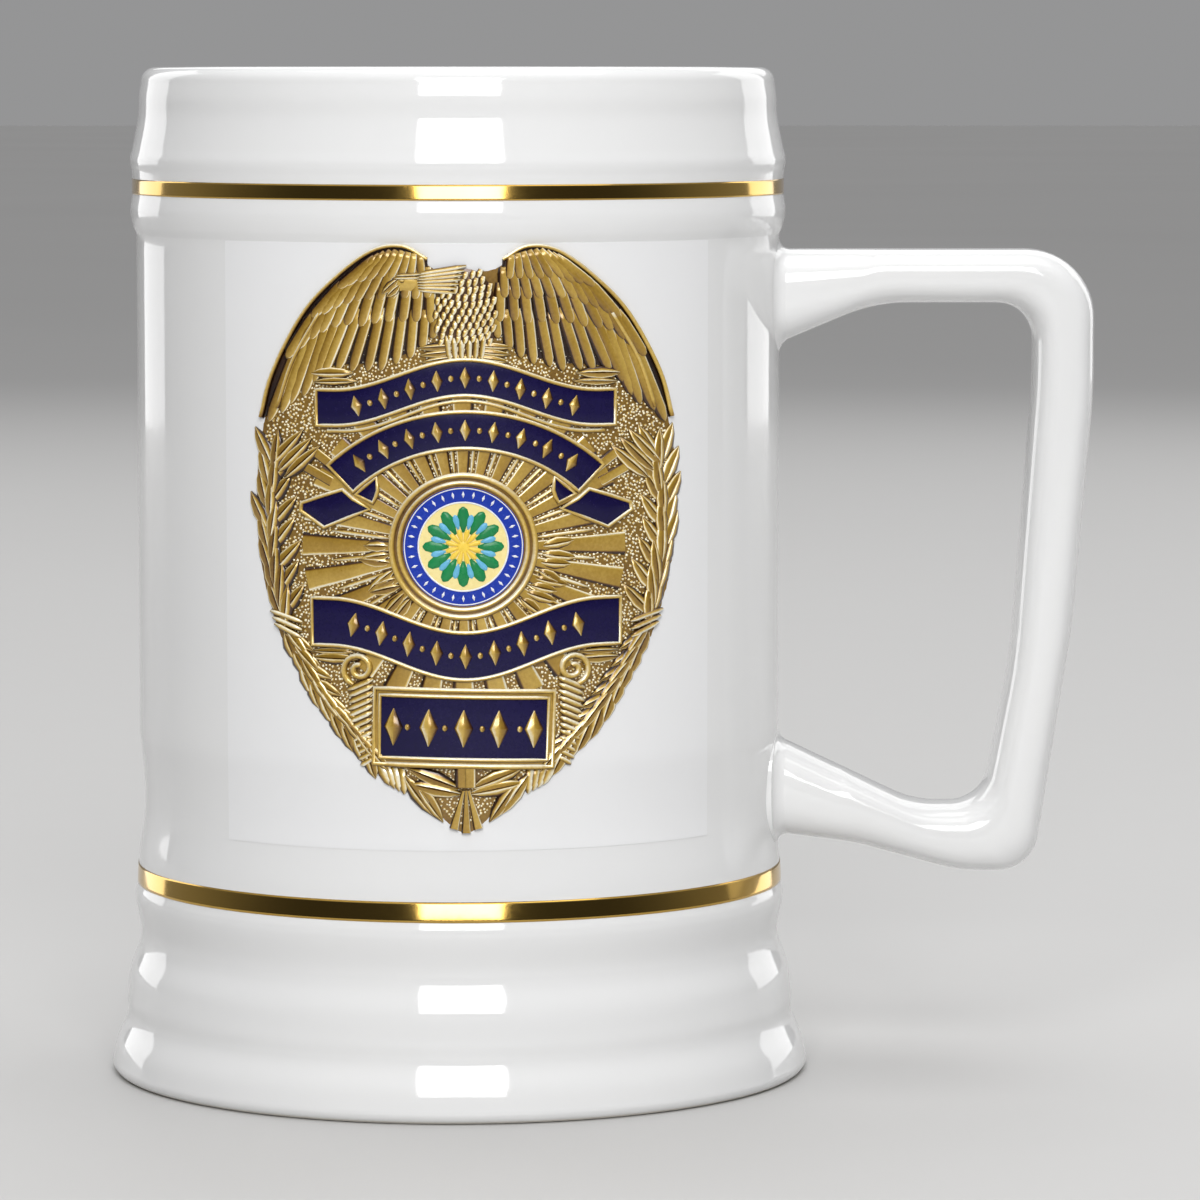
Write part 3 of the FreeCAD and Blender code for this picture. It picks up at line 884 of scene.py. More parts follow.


# motifs, one unit long and wide: stations along (place, width, height), section across (side, height, tone);
# the tones paint highlight and shade on each motif

def motifMesh(name, stations, section):
    back = 0.35    # how deep the motif goes under the line it stands on
    points = []
    tones = []
    for place, width, height in stations:
        points += [Vector((side * width / 2, -up * height, place)) for side, up, tone in section]
        points += [Vector((width / 2, back, place)), Vector((-width / 2, back, place))]
        tones += [tone for side, up, tone in section] + [section[-1][2], section[0][2]]
    mesh = bpy.data.meshes.new(name)
    mesh.from_pydata(points, [], ringFaces(len(stations), len(section) + 2))
    mesh.attributes.new("tone", "FLOAT", "POINT").data.foreach_set("value", tones)
    return newObject(name, closeMesh(mesh, 60))


# each section paints light and shade into tone: pale, as a painted highlight, towards the left side and dark,
# as painted shade, towards the right
ridged = [(-1, 0.0, 0.3), (-0.88, 0.75, 1.0), (-0.64, 0.9, 0.6), (0.0, 1.0, 0.48), (0.5, 0.85, 0.36),
          (0.66, 0.6, 0.03), (1, 0.0, 0.0)]
veined = [(-1, 0.0, 0.0), (-0.8, 0.6, 0.95), (-0.55, 0.8, 0.45), (-0.12, 0.95, 0.38), (0.0, 0.5, 0.0),
          (0.16, 1.0, 0.95), (0.6, 0.65, 0.4), (0.75, 0.5, 0.03), (1, 0.0, 0.0)]
flatTopped = [(-1, 0.0, 0.1), (-0.88, 0.9, 1.0), (-0.66, 1.0, 0.54), (0.6, 1.0, 0.48), (0.78, 0.9, 0.04),
              (1, 0.0, 0.0)]
faceted = [(-1, 0.0, 0.0), (-0.7, 0.75, 0.8), (0, 1.0, 0.52), (0.66, 0.75, 0.28), (1, 0.0, 0.0)]
rounded = [(-1, 0.0, 0.0), (-0.7, 0.75, 1.0), (0, 1.0, 0.75), (0.66, 0.75, 0.3), (1, 0.0, 0.0)]
lowDome = [(-1, 0.0, 0.7), (-0.8, 0.8, 0.75), (0, 1.0, 0.8), (0.8, 0.8, 0.75), (1, 0.0, 0.7)]

motifShapes = {
    "feather": ([(-0.03, 0.75, 0.6), (0.2, 1.0, 0.9), (0.6, 1.0, 1.0), (0.86, 0.94, 0.95), (0.96, 0.62, 0.8),
                 (1.01, 0.12, 0.4)], ridged),
    "scale": ([(0, 0.8, 0.3), (0.45, 1.0, 0.8), (0.8, 0.8, 1.0), (1.0, 0.25, 0.5)], rounded),
    "leaf": ([(0, 0.25, 0.5), (0.2, 0.75, 0.9), (0.45, 1.0, 1.0), (0.75, 0.72, 0.85), (1.0, 0.06, 0.3)],
             veined),
    "ray": ([(0, 0.42, 1.0), (0.5, 0.72, 1.0), (1.0, 1.0, 1.0)], flatTopped),
    "bar": ([(0, 0.9, 0.9), (0.04, 1.0, 1.0), (0.96, 1.0, 1.0), (1.0, 0.9, 0.9)], flatTopped),
    "rib": ([(0, 0.5, 0.5), (0.2, 1.0, 1.0), (0.8, 1.0, 1.0), (1.0, 0.5, 0.5)], rounded),
    "lozenge": ([(0, 0.06, 0.5), (0.5, 1.0, 1.0), (1.0, 0.06, 0.5)], faceted),
    "bead": ([(0, 0.3, 0.4), (0.2, 0.85, 0.85), (0.5, 1.0, 1.0), (0.8, 0.85, 0.85), (1.0, 0.3, 0.4)],
             faceted),
    "strip": ([(0, 0.3, 0.8), (0.5, 0.62, 1.0), (1.0, 1.0, 0.9)], flatTopped),
    "petal": ([(0, 0.2, 0.7), (0.3, 0.65, 1.0), (0.65, 1.0, 1.0), (0.9, 0.7, 0.9), (1.0, 0.15, 0.6)],
              lowDome),
}
motifs = {name: motifMesh(name + "_motif", *shape) for name, shape in motifShapes.items()}
helpers = [wallGuide] + list(motifs.values())


def spanPiece(name, near, far, motif, count, width, relief=0.3, lift=0.12, play=0.0, turnPlay=0.0,
              seed=1, closed=False, material=None):
    # near and far are lines in drawing millimetres; widths, relief and lift are millimetres
    if not isinstance(width, tuple):
        width = (width, width)
    farLine = newObject(name + "_far", lineMesh(name + "_far", [art(*p) for p in far], closed))
    made = grow(name, lineMesh(name, [art(*p) for p in near], closed), spans, {
        "Far Line": farLine, "Motif": motifs[motif], "Count": count,
        "Near Width": width[0] * mm, "Far Width": width[1] * mm, "Relief": relief * mm, "Lift": lift * mm,
        "Length Play": play, "Turn Play": turnPlay, "Seed": seed, "Wall": wallGuide,
        "Material": material or printGold})
    bpy.data.objects.remove(farLine)
    return made


def pipingPiece(name, line, radius, lift, closed=False, material=None):
    return grow(name, lineMesh(name, [art(*p) for p in line], closed), pipings,
                {"Radius": radius * mm, "Lift": lift * mm, "Wall": wallGuide,
                 "Material": material or printGold})


def sprays(rows, turn=list, seedStep=0):
    # rows: name, near line, far line, motif, count, width, relief, lift, and then any plays, and the seed
    return [spanPiece(name, turn(near), turn(far), *sizes, seed=seed + seedStep)
            for name, near, far, *sizes, seed in rows]


def mirrored(points):
    return [(-a, b) for a, b in points]


def joinPieces(name, parts):
    # several plain meshes as one, keeping tone and tint
    first = parts[0]
    with bpy.context.temp_override(active_object=first, object=first, selected_objects=parts,
                                   selected_editable_objects=parts):
        bpy.ops.object.join()
    first.name = name
    first.data.name = name
    return first


def plate(name, rows, thickness, material, tone=0.5, ringed=False):
    # closed sheet over a grid of (a, b, lift) points, laid on the wall; ringed rows close on themselves
    across = len(rows[0])
    top = [art(*p) for row in rows for p in row]
    bottom = [art(p[0], p[1], p[2] - thickness) for row in rows for p in row]
    under = len(top)
    faces = []
    steps = across if ringed else across - 1
    for i in range(len(rows) - 1):
        for j in range(steps):
            quad = (i * across + j, i * across + (j + 1) % across,
                    (i + 1) * across + (j + 1) % across, (i + 1) * across + j)
            faces += [quad, tuple(under + k for k in reversed(quad))]
    border = [(len(rows) - 1) * across + j for j in range(across)]
    if not ringed:    # then the edge runs right round the grid
        border = ([j for j in range(across)]
                  + [i * across + across - 1 for i in range(1, len(rows))]
                  + border[-2::-1] + [i * across for i in range(len(rows) - 2, 0, -1)])
    faces += [(a, b, under + b, under + a) for a, b in zip(border, border[1:] + border[:1])]
    mesh = bpy.data.meshes.new(name)
    mesh.from_pydata(top + bottom, [], faces)
    closeMesh(mesh)
    for label, value in (("tone", tone), ("tint", 0.5)):
        mesh.attributes.new(label, "FLOAT", "POINT").data.foreach_set("value", [value] * len(mesh.vertices))
    return grow(name, mesh, wallLay, {"Wall": wallGuide, "Material": material})


def railPlate(name, upper, lower, lift, thickness, material, rows=4, bevel=0.12, tone=0.5):
    # sheet between two rails of equally many points, with its long edges eased down
    grid = []
    for i in range(rows + 1):
        share = i / rows
        drop = bevel if i in (0, rows) else 0.0
        grid.append([(a[0] + (b[0] - a[0]) * share, a[1] + (b[1] - a[1]) * share, lift - drop)
                     for a, b in zip(upper, lower)])
    return plate(name, grid, thickness, material, tone)


def circleLine(centre, radius, count, start=90.0):
    turns = [math.radians(start - 360 * i / count) for i in range(count)]
    return [(centre[0] + radius * math.cos(t), centre[1] + radius * math.sin(t)) for t in turns]


def softLine(points, steps=6):
    return [(p.x, p.y) for p in smoothRun(points, steps)]


# clear film and the gold ground of the badge
filmLook = {"lift": 0.06, "thickness": 0.12, "across": 64, "up": 110}


def onBadge(corner):
    # a frame corner in drawing millimetres
    return ((corner.x - badgeMiddle) / artScale, (corner.z - badgeLow.z) / artScale)


def filmRows():
    (left, low), (right, high) = onBadge(filmLow), onBadge(filmHigh)
    across, up = filmLook["across"], filmLook["up"]
    return [[(left + (right - left) * i / across, low + (high - low) * j / up, filmLook["lift"])
             for i in range(across + 1)] for j in range(up + 1)]


transferFilm = plate("clear_transfer_film", filmRows(), filmLook["thickness"], clearFilm)

shield = {
    "half": [(0.0, -0.2), (1.6, 0.2), (6.9, 4.9), (13.9, 10.7), (18.6, 15.6), (24.3, 22.8), (27.4, 29.7),
             (29.5, 38.5), (29.8, 49.6), (28.5, 58.4), (24.3, 69.3), (17.9, 77.8), (12.6, 81.6),
             (8.4, 82.1), (4.4, 79.3), (0.0, 78.7)],
    "heart": (0.0, 42.0), "rings": 18, "lift": 0.14, "thickness": 0.16, "tone": 0.34,
}


def shieldLine():
    right = softLine(shield["half"], 7)
    return right + mirrored(right[-2:0:-1])


def scaledLine(line, centre, share):
    return [(centre[0] + (a - centre[0]) * share, centre[1] + (b - centre[1]) * share) for a, b in line]


def discRows(line, centre, rings, lift, crown=0.0, drop=0.1):
    # rings from the centre to the outline, raised by the crown in the middle and eased at the rim
    rows = []
    for k in range(rings + 1):
        share = k / rings
        level = lift + crown * (1 - share ** 2) - (drop if k == rings else 0.0)
        rows.append([(a, b, level) for a, b in scaledLine(line, centre, share)])
    return rows


outline = shieldLine()
badgeGround = plate("badge_ground", discRows(outline, shield["heart"], shield["rings"], shield["lift"]),
                    shield["thickness"], printGold, shield["tone"], ringed=True)

grainLook = {"spacing": 0.32, "smallest": 0.38, "largest": 0.58, "below": 71.5, "inset": 0.965, "seed": 12}


def grainMotif():
    # low four-sided grain with painted light: one side painted pale as a highlight and one painted dark as
    # shade
    points = [(-0.5, 0.2, -0.5), (0.5, 0.2, -0.5), (0.5, 0.2, 0.5), (-0.5, 0.2, 0.5), (0.0, -0.34, 0.0)]
    mesh = bpy.data.meshes.new("grain_motif")
    mesh.from_pydata(points, [], [(0, 1, 4), (1, 2, 4), (2, 3, 4), (3, 0, 4), (3, 2, 1, 0)])
    mesh.attributes.new("tone", "FLOAT", "POINT").data.foreach_set("value", [0.2, 0.45, 1.0, 0.8, 0.98])
    return newObject("grain_motif", closeMesh(mesh, 180))


def grainField():
    # flat field inside the outline, below the wings, for the grain to be scattered on
    field = scaledLine(outline, shield["heart"], grainLook["inset"])
    points = [art(a, b, shield["lift"]) for a, b in field if b < grainLook["below"]]
    mesh = bpy.data.meshes.new("grain_field")
    mesh.from_pydata(points, [], [tuple(range(len(points)))])
    return mesh


grainSeed = grainMotif()
helpers.append(grainSeed)
badgeGrain = grow("badge_grain", grainField(), grains, {
    "Grain": grainSeed, "Spacing": grainLook["spacing"] * mm, "Smallest": grainLook["smallest"] * mm,
    "Largest": grainLook["largest"] * mm, "Seed": grainLook["seed"], "Wall": wallGuide,
    "Material": printGold})
print("film, ground and grain laid:", len(badgeGrain.data.polygons), "grain faces")


# rays behind the medallion
medallionPlace = badge["medallion"]
rayLook = {"count": 28, "inner": 10.2, "outer": 22.4, "width": 3.5, "relief": 0.32,
           "thinOuter": 18.4, "thinWidth": 0.7, "thinRelief": 0.34, "lift": 0.12, "guidePoints": 112}


def rayRing(name, outer, start, motif, width, relief, seed):
    near, far = (circleLine(medallionPlace, radius, rayLook["guidePoints"], start)
                 for radius in (rayLook["inner"], outer))
    return spanPiece(name, near, far, motif, rayLook["count"], width, relief, rayLook["lift"],
                     seed=seed, closed=True)


sunRays = joinPieces("sun_rays", [
    rayRing("flat_rays", rayLook["outer"], 90, "ray", rayLook["width"], rayLook["relief"], 3),
    rayRing("thin_rays", rayLook["thinOuter"], 90 + 180 / rayLook["count"], "rib", rayLook["thinWidth"],
            rayLook["thinRelief"], 4)])
print("rays set")


# rows of feathers of the left wing, longest first; each row lies over the one before
featherRows = [
    {"near": [(-23.0, 69.0), (-19.2, 71.6), (-13.6, 73.2), (-4.0, 73.0)],
     "far": [(-27.8, 57.6), (-24.0, 60.0), (-19.9, 64.2), (-13.4, 64.6), (-7.8, 66.2), (-4.6, 69.2)],
     "count": 14, "width": (1.78, 1.52), "lift": 0.26},
    {"near": [(-20.9, 72.6), (-16.6, 76.0), (-11.0, 77.3), (-4.8, 76.8)],
     "far": [(-24.8, 66.4), (-20.0, 70.0), (-13.8, 71.1), (-4.8, 71.5)],
     "count": 12, "width": (1.85, 1.62), "lift": 0.36},
    {"near": [(-16.8, 77.1), (-11.8, 79.4), (-5.2, 79.0)],
     "far": [(-21.3, 72.0), (-14.8, 74.4), (-5.3, 74.7)],
     "count": 11, "width": (1.7, 1.5), "lift": 0.46},
    {"near": [(-12.6, 80.4), (-9.9, 81.4), (-6.3, 80.8)],
     "far": [(-17.7, 76.2), (-12.5, 77.5), (-6.0, 77.4)],
     "count": 9, "width": (1.55, 1.35), "lift": 0.56},
]
wingLines = {
    "edge": [(-28.6, 57.8), (-26.8, 64.4), (-22.6, 72.4), (-18.0, 77.5), (-12.9, 81.3), (-8.6, 82.0),
             (-5.2, 80.2)],
    "foot": [(-28.4, 57.6), (-26.4, 59.8), (-23.6, 61.4), (-19.4, 65.0), (-13.0, 65.8), (-7.4, 67.4),
             (-4.4, 70.0)],
    "quill": [(-26.2, 59.2), (-23.9, 66.0), (-20.2, 72.6)],
}
wingLook = {"relief": 0.34, "play": 0.07, "turnPlay": 0.05, "bedLift": 0.3, "bedThickness": 0.3,
            "edgeWire": 0.27, "quillWire": 0.26, "wireLift": 0.56}


def wing(name, turn, seed):
    w = wingLook
    parts = []
    for i, row in enumerate(featherRows):
        near, far = softLine(turn(row["near"])), softLine(turn(row["far"]))
        parts.append(spanPiece(name + str(i), near, far, "feather", row["count"], row["width"],
                               w["relief"], row["lift"], w["play"], w["turnPlay"], seed + i))
    # a dark bed, painted shade, shows in the gaps between the feathers, and a raised edge runs round them
    edge, foot, quill = (softLine(turn(wingLines[key])) for key in ("edge", "foot", "quill"))
    parts.append(railPlate(name + "_bed", edge, foot, w["bedLift"], w["bedThickness"], printGold,
                           rows=6, bevel=0.05, tone=0.0))
    parts.append(pipingPiece(name + "_edge", edge, w["edgeWire"], w["wireLift"]))
    parts.append(pipingPiece(name + "_quill", quill, w["quillWire"], w["wireLift"]))
    return joinPieces(name, parts)


leftWing = wing("left_wing", list, 20)
rightWing = wing("right_wing", mirrored, 40)

eagleBody = {
    "centre": (0.2, 72.3), "halfWidth": 4.3, "halfHeight": 6.6, "rows": 13, "scaleWidth": 0.98, "fill": 0.94,
    "chest": {"lift": 0.42, "crown": 0.30, "thickness": 0.4, "tone": 0.14},
    "head": {"place": (-8.1, 77.0), "halfWidth": 1.9, "halfHeight": 1.3, "lift": 0.74, "crown": 0.3,
             "thickness": 0.5, "tone": 0.62},
}
eagleStrokes = [
    ("neck", [(0.2, 79.3), (-1.4, 75.6)], [(-6.6, 78.2), (-6.4, 76.0)], "rib", 7, 0.66, 0.3, 0.76, 80),
    ("brow", [(-6.0, 78.2), (-6.2, 77.7)], [(-9.3, 78.0), (-9.5, 77.6)], "rib", 2, 0.42, 0.3, 1.0, 81),
    ("beak", [(-9.2, 77.4), (-9.0, 76.6)], [(-11.4, 75.4), (-10.7, 75.0)], "leaf", 2, 1.4, 0.3, 0.84, 82),
    ("eye", [(-8.9, 77.2), (-8.85, 77.2)], [(-8.3, 77.2), (-8.25, 77.2)], "bead", 2, 0.5, 0.3, 1.04, 83),
]
eagleClaws = [    # on both sides
    ("claw", [(-1.4, 68.2), (-1.8, 66.6)], [(-6.6, 67.9), (-6.0, 65.9)], "leaf", 3, 1.3, 0.34, 0.42, 90),
    ("leg", [(-2.6, 69.6), (-0.6, 69.0)], [(-2.2, 66.4), (-0.5, 66.3)], "rib", 3, 0.9, 0.4, 0.5, 94),
]


def ellipseLine(centre, halfWidth, halfHeight, count=40):
    turns = [2 * math.pi * i / count for i in range(count)]
    return [(centre[0] + halfWidth * math.cos(t), centre[1] + halfHeight * math.sin(t)) for t in turns]


def dome(name, place, halfWidth, halfHeight, rings, look):
    rows = discRows(ellipseLine(place, halfWidth, halfHeight), place, rings, look["lift"], look["crown"])
    return plate(name, rows, look["thickness"], printGold, look["tone"], ringed=True)


def chestRow(i):
    # one row of scales across the breast
    e = eagleBody
    middle = e["centre"][0]
    share = (i + 0.5) / e["rows"] * 2 - 1
    level = e["centre"][1] + share * e["halfHeight"] * e["fill"] + 0.8
    half = e["halfWidth"] * math.sqrt(1 - (share * e["fill"]) ** 2) * e["fill"]
    bow = 0.7 * half / e["halfWidth"]    # each row sags a little in the middle
    inset = 0.5 * e["scaleWidth"] * (i % 2)    # and every other row is set half a scale aside
    near = [(inset - half + middle, level), (middle, level - bow), (half - inset + middle, level)]
    far = [(a - 0.35, b - 1.15) for a, b in near]
    count = max(2, round(2 * (half - inset) / e["scaleWidth"]) + 1)
    return spanPiece("chest_row", softLine(near), softLine(far), "scale", count, e["scaleWidth"] * 0.9,
                     relief=0.14, lift=0.46 + 0.24 * (1 - share ** 2) + 0.01 * i, play=0.1, turnPlay=0.25,
                     seed=60 + i)


def eagle():
    e = eagleBody
    head = e["head"]
    parts = [dome("eagle_chest", e["centre"], e["halfWidth"], e["halfHeight"], 6, e["chest"])]
    parts += [chestRow(i) for i in range(e["rows"])]
    parts.append(dome("eagle_head", head["place"], head["halfWidth"], head["halfHeight"], 4, head))
    parts += sprays(eagleStrokes) + sprays(eagleClaws) + sprays(eagleClaws, mirrored, 1)
    return joinPieces("eagle", parts)


eagleRelief = eagle()
print("wings and eagle set")


# wreath, scrolls and foot ornament

def shifted(line, a, b):
    return [(x + a, y + b) for x, y in line]


stemUp = [(-25.9, 29.8), (-27.4, 36.5), (-27.9, 44.0), (-27.2, 51.2)]
stemDown = [(-25.4, 27.6), (-22.1, 21.6), (-18.1, 16.2), (-13.9, 11.8)]
leafRows = [
    # stem, shift from root to tip, count, width, lift
    (stemUp, (-1.8, 5.4), 8, 2.2, 0.16),
    (stemUp, (3.6, 5.0), 8, 2.2, 0.16),
    (shifted(stemUp, 0.5, -1.6), (0.3, 6.2), 8, 2.0, 0.34),
    (stemDown, (1.7, -4.4), 9, 2.3, 0.16),
    (stemDown, (4.2, -2.2), 9, 2.0, 0.16),
    (shifted(stemDown, 0.3, 0.6), (3.1, -3.9), 9, 1.8, 0.34),
]


wreathEnds = [
    ("tie", [(-27.3, 30.6), (-26.7, 28.8)], [(-22.8, 29.2), (-22.9, 27.0)], "rib", 3, 0.8, 0.4, 0.5, 7),
    ("sprig", [(-27.4, 50.8), (-25.2, 49.4)], [(-22.6, 56.2), (-20.2, 54.0)], "leaf", 3, 2.1, 0.42, 0.36, 8),
]


leafPlay = {"relief": 0.42, "play": 0.14, "turnPlay": 0.22}


def wreath(name, turn, seed):
    parts = []
    for i, (stem, reach, count, width, lift) in enumerate(leafRows):
        near = softLine(stem)
        parts.append(spanPiece(name + str(i), turn(near), turn(shifted(near, *reach)), "leaf", count, width,
                               lift=lift, seed=seed + i, **leafPlay))
    parts += sprays(wreathEnds, turn, seed)
    return joinPieces(name, parts)


leftWreath = wreath("left_wreath", list, 100)
rightWreath = wreath("right_wreath", mirrored, 120)


def arcLine(centre, radius, start, end, step):
    turns = [math.radians(angle) for angle in range(start, end + 1, step)]
    return [(centre[0] + radius * math.cos(t), centre[1] + radius * math.sin(t)) for t in turns]


def spiralLine(centre, outer, inner, turns, start, count=26):
    line = []
    for i in range(count):
        t = i / (count - 1)
        radius = outer + (inner - outer) * t
        angle = math.radians(start) - 2 * math.pi * turns * t
        line.append((centre[0] + radius * math.cos(angle), centre[1] + radius * math.sin(angle)))
    return line


footSprays = [    # on both sides of the tip
    ("ribs", softLine([(-12.9, 21.6), (-13.1, 15.6), (-12.9, 10.4)]),
     softLine([(-16.4, 20.0), (-15.9, 13.8), (-14.6, 9.4)]), "rib", 13, (1.0, 0.8), 0.42, 0.26, 0.1, 140),
    ("side_leaves", [(-1.0, 6.3), (-0.8, 5.5)], [(-8.0, 9.1), (-8.2, 7.0)], "leaf", 2, 2.4, 0.45, 0.36, 150),
    ("edge_leaves", [(-8.6, 8.0), (-7.0, 7.0)], [(-4.6, 2.3), (-3.2, 1.4)], "leaf", 2, 2.3, 0.4, 0.3, 152),
    ("shell_ribs", [(-12.2, 9.6), (-9.0, 9.0)], [(-10.6, 6.6), (-8.6, 5.4)], "scale", 4, 1.5, 0.4, 0.24, 154),
    ("acanthus", arcLine(medallionPlace, 10.4, 180, 225, 5), arcLine(medallionPlace, 14.6, 180, 225, 5),
     "leaf", 8, 2.0, 0.36, 0.24, 0.35, 0.8, 160),
    ("panel_end", [(-22.3, 51.0), (-21.0, 53.2)], [(-18.6, 49.0), (-17.9, 50.8)],
     "bar", 2, 1.5, 0.3, 0.2, 166),
]
tipSprays = [
    ("tip_strips", [(-0.35, 6.0), (0.0, 6.0), (0.35, 6.0)], [(-1.7, 0.5), (0.0, -0.1), (1.7, 0.5)],
     "strip", 3, 1.35, 0.5, 0.32, 170),
    ("stem_block", [(-0.1, 9.6), (-0.05, 9.6)], [(-0.1, 6.4), (-0.05, 6.4)], "bar", 2, 2.9, 0.3, 0.5, 171),
]
volute = {"centre": (-14.8, 22.9), "outer": 2.4, "inner": 0.4, "turns": 1.5, "start": 250,
          "wire": 0.42, "lift": 0.45}


def footOrnament():
    scroll = spiralLine(*(volute[key] for key in ("centre", "outer", "inner", "turns", "start")))
    parts = []
    for i, turn in enumerate((list, mirrored)):
        parts += sprays(footSprays, turn, i)
        parts.append(pipingPiece("volute", turn(scroll), volute["wire"], volute["lift"]))
    return joinPieces("foot_ornament", parts + sprays(tipSprays))


footScrolls = footOrnament()
print("wreath and scrolls set")


# ribbons, plaque and their borders

ribbonLook = {"border": 0.30, "steps": 44, "thickness": 0.6, "borderSink": 0.05}
ribbonShapes = {
    "upper": {"middle": 63.75, "rise": 4.35, "wave": 18.3, "half": 20.6, "depth": 5.0},
    "middle": {"centre": (0.0, 31.45), "radius": 25.0, "halfAngle": 43.6, "depth": 5.1},
    "lower": {"middle": 24.8, "rise": -4.6, "wave": 18.5, "half": 21.3, "depth": 6.6},
}
plaqueLook = {"centre": (-0.3, 14.7), "size": (23.2, 8.8), "frame": (24.8, 10.6), "tilt": -1.3,
              "frameLift": 0.60, "frameThickness": 0.55, "rimWire": 0.36, "rimLift": 0.54}


def wavedRails(shape):
    # a ribbon that rises or sags in the middle along a squared cosine
    upper, lower = [], []
    for i in range(ribbonLook["steps"] + 1):
        a = shape["half"] * (2 * i / ribbonLook["steps"] - 1)
        swell = math.cos(math.pi * min(abs(a), shape["wave"]) / (2 * shape["wave"])) ** 2
        spine = shape["middle"] - shape["rise"] * (1 - swell)
        upper.append((a, spine + shape["depth"] / 2))
        lower.append((a, spine - shape["depth"] / 2))
    return upper, lower


def archedRails(shape):
    # a ribbon bent to an arc
    centre, steps = shape["centre"], ribbonLook["steps"]
    turns = [math.radians(shape["halfAngle"] * (2 * i / steps - 1)) for i in range(steps + 1)]
    return [[(centre[0] + r * math.sin(t), centre[1] + r * math.cos(t)) for t in turns]
            for r in (shape["radius"] + shape["depth"] / 2, shape["radius"] - shape["depth"] / 2)]


def tiltedRect(size, steps=12):
    # upper and lower rail of the plaque, which hangs slightly out of level
    (a, b), (width, height) = plaqueLook["centre"], size
    c, s = math.cos(math.radians(plaqueLook["tilt"])), math.sin(math.radians(plaqueLook["tilt"]))
    return [[(a + (i / steps - 0.5) * width * c - side * height * s,
              b + (i / steps - 0.5) * width * s + side * height * c) for i in range(steps + 1)]
            for side in (0.5, -0.5)]


tailRails = ([(15.5, 46.7), (17.0, 48.0), (20.0, 47.0), (22.7, 46.0)],
             [(13.2, 45.4), (16.4, 44.0), (19.6, 42.6), (22.9, 44.9)])
foldRails = ([(12.3, 49.8), (13.8, 48.6), (15.2, 47.4)], [(12.1, 48.0), (12.4, 47.0), (12.8, 46.2)])


def mirroredRails(rails):
    return [mirrored(rail) for rail in rails]


# rails, lift and rows of each navy fill
enamelShapes = {
    "upper_ribbon": (wavedRails(ribbonShapes["upper"]), 0.66, 6),
    "middle_ribbon": (archedRails(ribbonShapes["middle"]), 0.70, 6),
    "lower_ribbon": (wavedRails(ribbonShapes["lower"]), 0.68, 6),
    "plaque": (tiltedRect(plaqueLook["size"]), 0.70, 6),
    "right_tail": (tailRails, 0.62, 3),
    "left_tail": (mirroredRails(tailRails), 0.62, 3),
    "right_fold": (foldRails, 0.54, 3),
    "left_fold": (mirroredRails(foldRails), 0.54, 3),
}


def loopOf(rails):
    return list(rails[0]) + list(rails[1])[::-1]


enamelPlates = {}
borders = []
for name, (rails, lift, rows) in enamelShapes.items():
    enamelPlates[name] = railPlate(name + "_enamel", *rails, lift, ribbonLook["thickness"],
                                   enamels["navy"], rows)
    borders.append(pipingPiece(name + "_border", loopOf(rails), ribbonLook["border"],
                               lift - ribbonLook["borderSink"], closed=True))
for side in ("left", "right"):    # each fold belongs to its tail
    enamelPlates[side + "_tail"] = joinPieces(side + "_tail_enamel", [enamelPlates[side + "_tail"],
                                                                      enamelPlates.pop(side + "_fold")])

frameRails = tiltedRect(plaqueLook["frame"])
borders.append(railPlate("plaque_frame", *frameRails, plaqueLook["frameLift"], plaqueLook["frameThickness"],
                         printGold))
borders.append(pipingPiece("plaque_rim", loopOf(frameRails), plaqueLook["rimWire"], plaqueLook["rimLift"],
                           closed=True))
# a second line follows the upper ribbon from below
echo = {"narrower": 0.93, "below": 5.75, "wire": 0.3, "lift": 0.34}
echoLine = [(a * echo["narrower"], b - echo["below"]) for a, b in enamelShapes["upper_ribbon"][0][0]]
borders.append(pipingPiece("upper_echo", echoLine, echo["wire"], echo["lift"]))
ribbonRolls = [    # rolled ends of the ribbons
    ("upper_roll", [(-21.3, 64.2), (-20.9, 63.0)], [(-15.4, 64.3), (-14.8, 63.2)], "leaf", 2, (1.9, 1.3),
     0.4, 0.4, 240),
    ("lower_roll", [(-21.3, 25.2), (-21.2, 24.3)], [(-15.4, 25.2), (-15.0, 24.2)], "leaf", 2, (1.3, 1.9),
     0.4, 0.2, 242),
]
borders += sprays(ribbonRolls) + sprays(ribbonRolls, mirrored)
goldBorders = joinPieces("gold_borders", borders)
print("ribbons, plaque and borders set")


# plain pattern of lozenges and beads where a name would stand

def patternRow(name, rails, share, motif, count, height, width, seed, lift):
    # motifs along the middle of a ribbon, over the given share of its length
    spine = [((a[0] + b[0]) / 2, (a[1] + b[1]) / 2) for a, b in zip(*rails)]
    skip = int(len(spine) * (1 - share) / 2)
    spine = spine[skip:len(spine) - skip]
    near, far = [], []
    for i, place in enumerate(spine):
        before, after = Vector(spine[max(i - 1, 0)]), Vector(spine[min(i + 1, len(spine) - 1)])
        along = (after - before).normalized()
        aside = Vector((-along.y, along.x)) * height / 2
        near.append((place[0] - aside.x, place[1] - aside.y))
        far.append((place[0] + aside.x, place[1] + aside.y))
    return spanPiece(name, near, far, motif, count, width, relief=0.24, lift=lift, seed=seed)


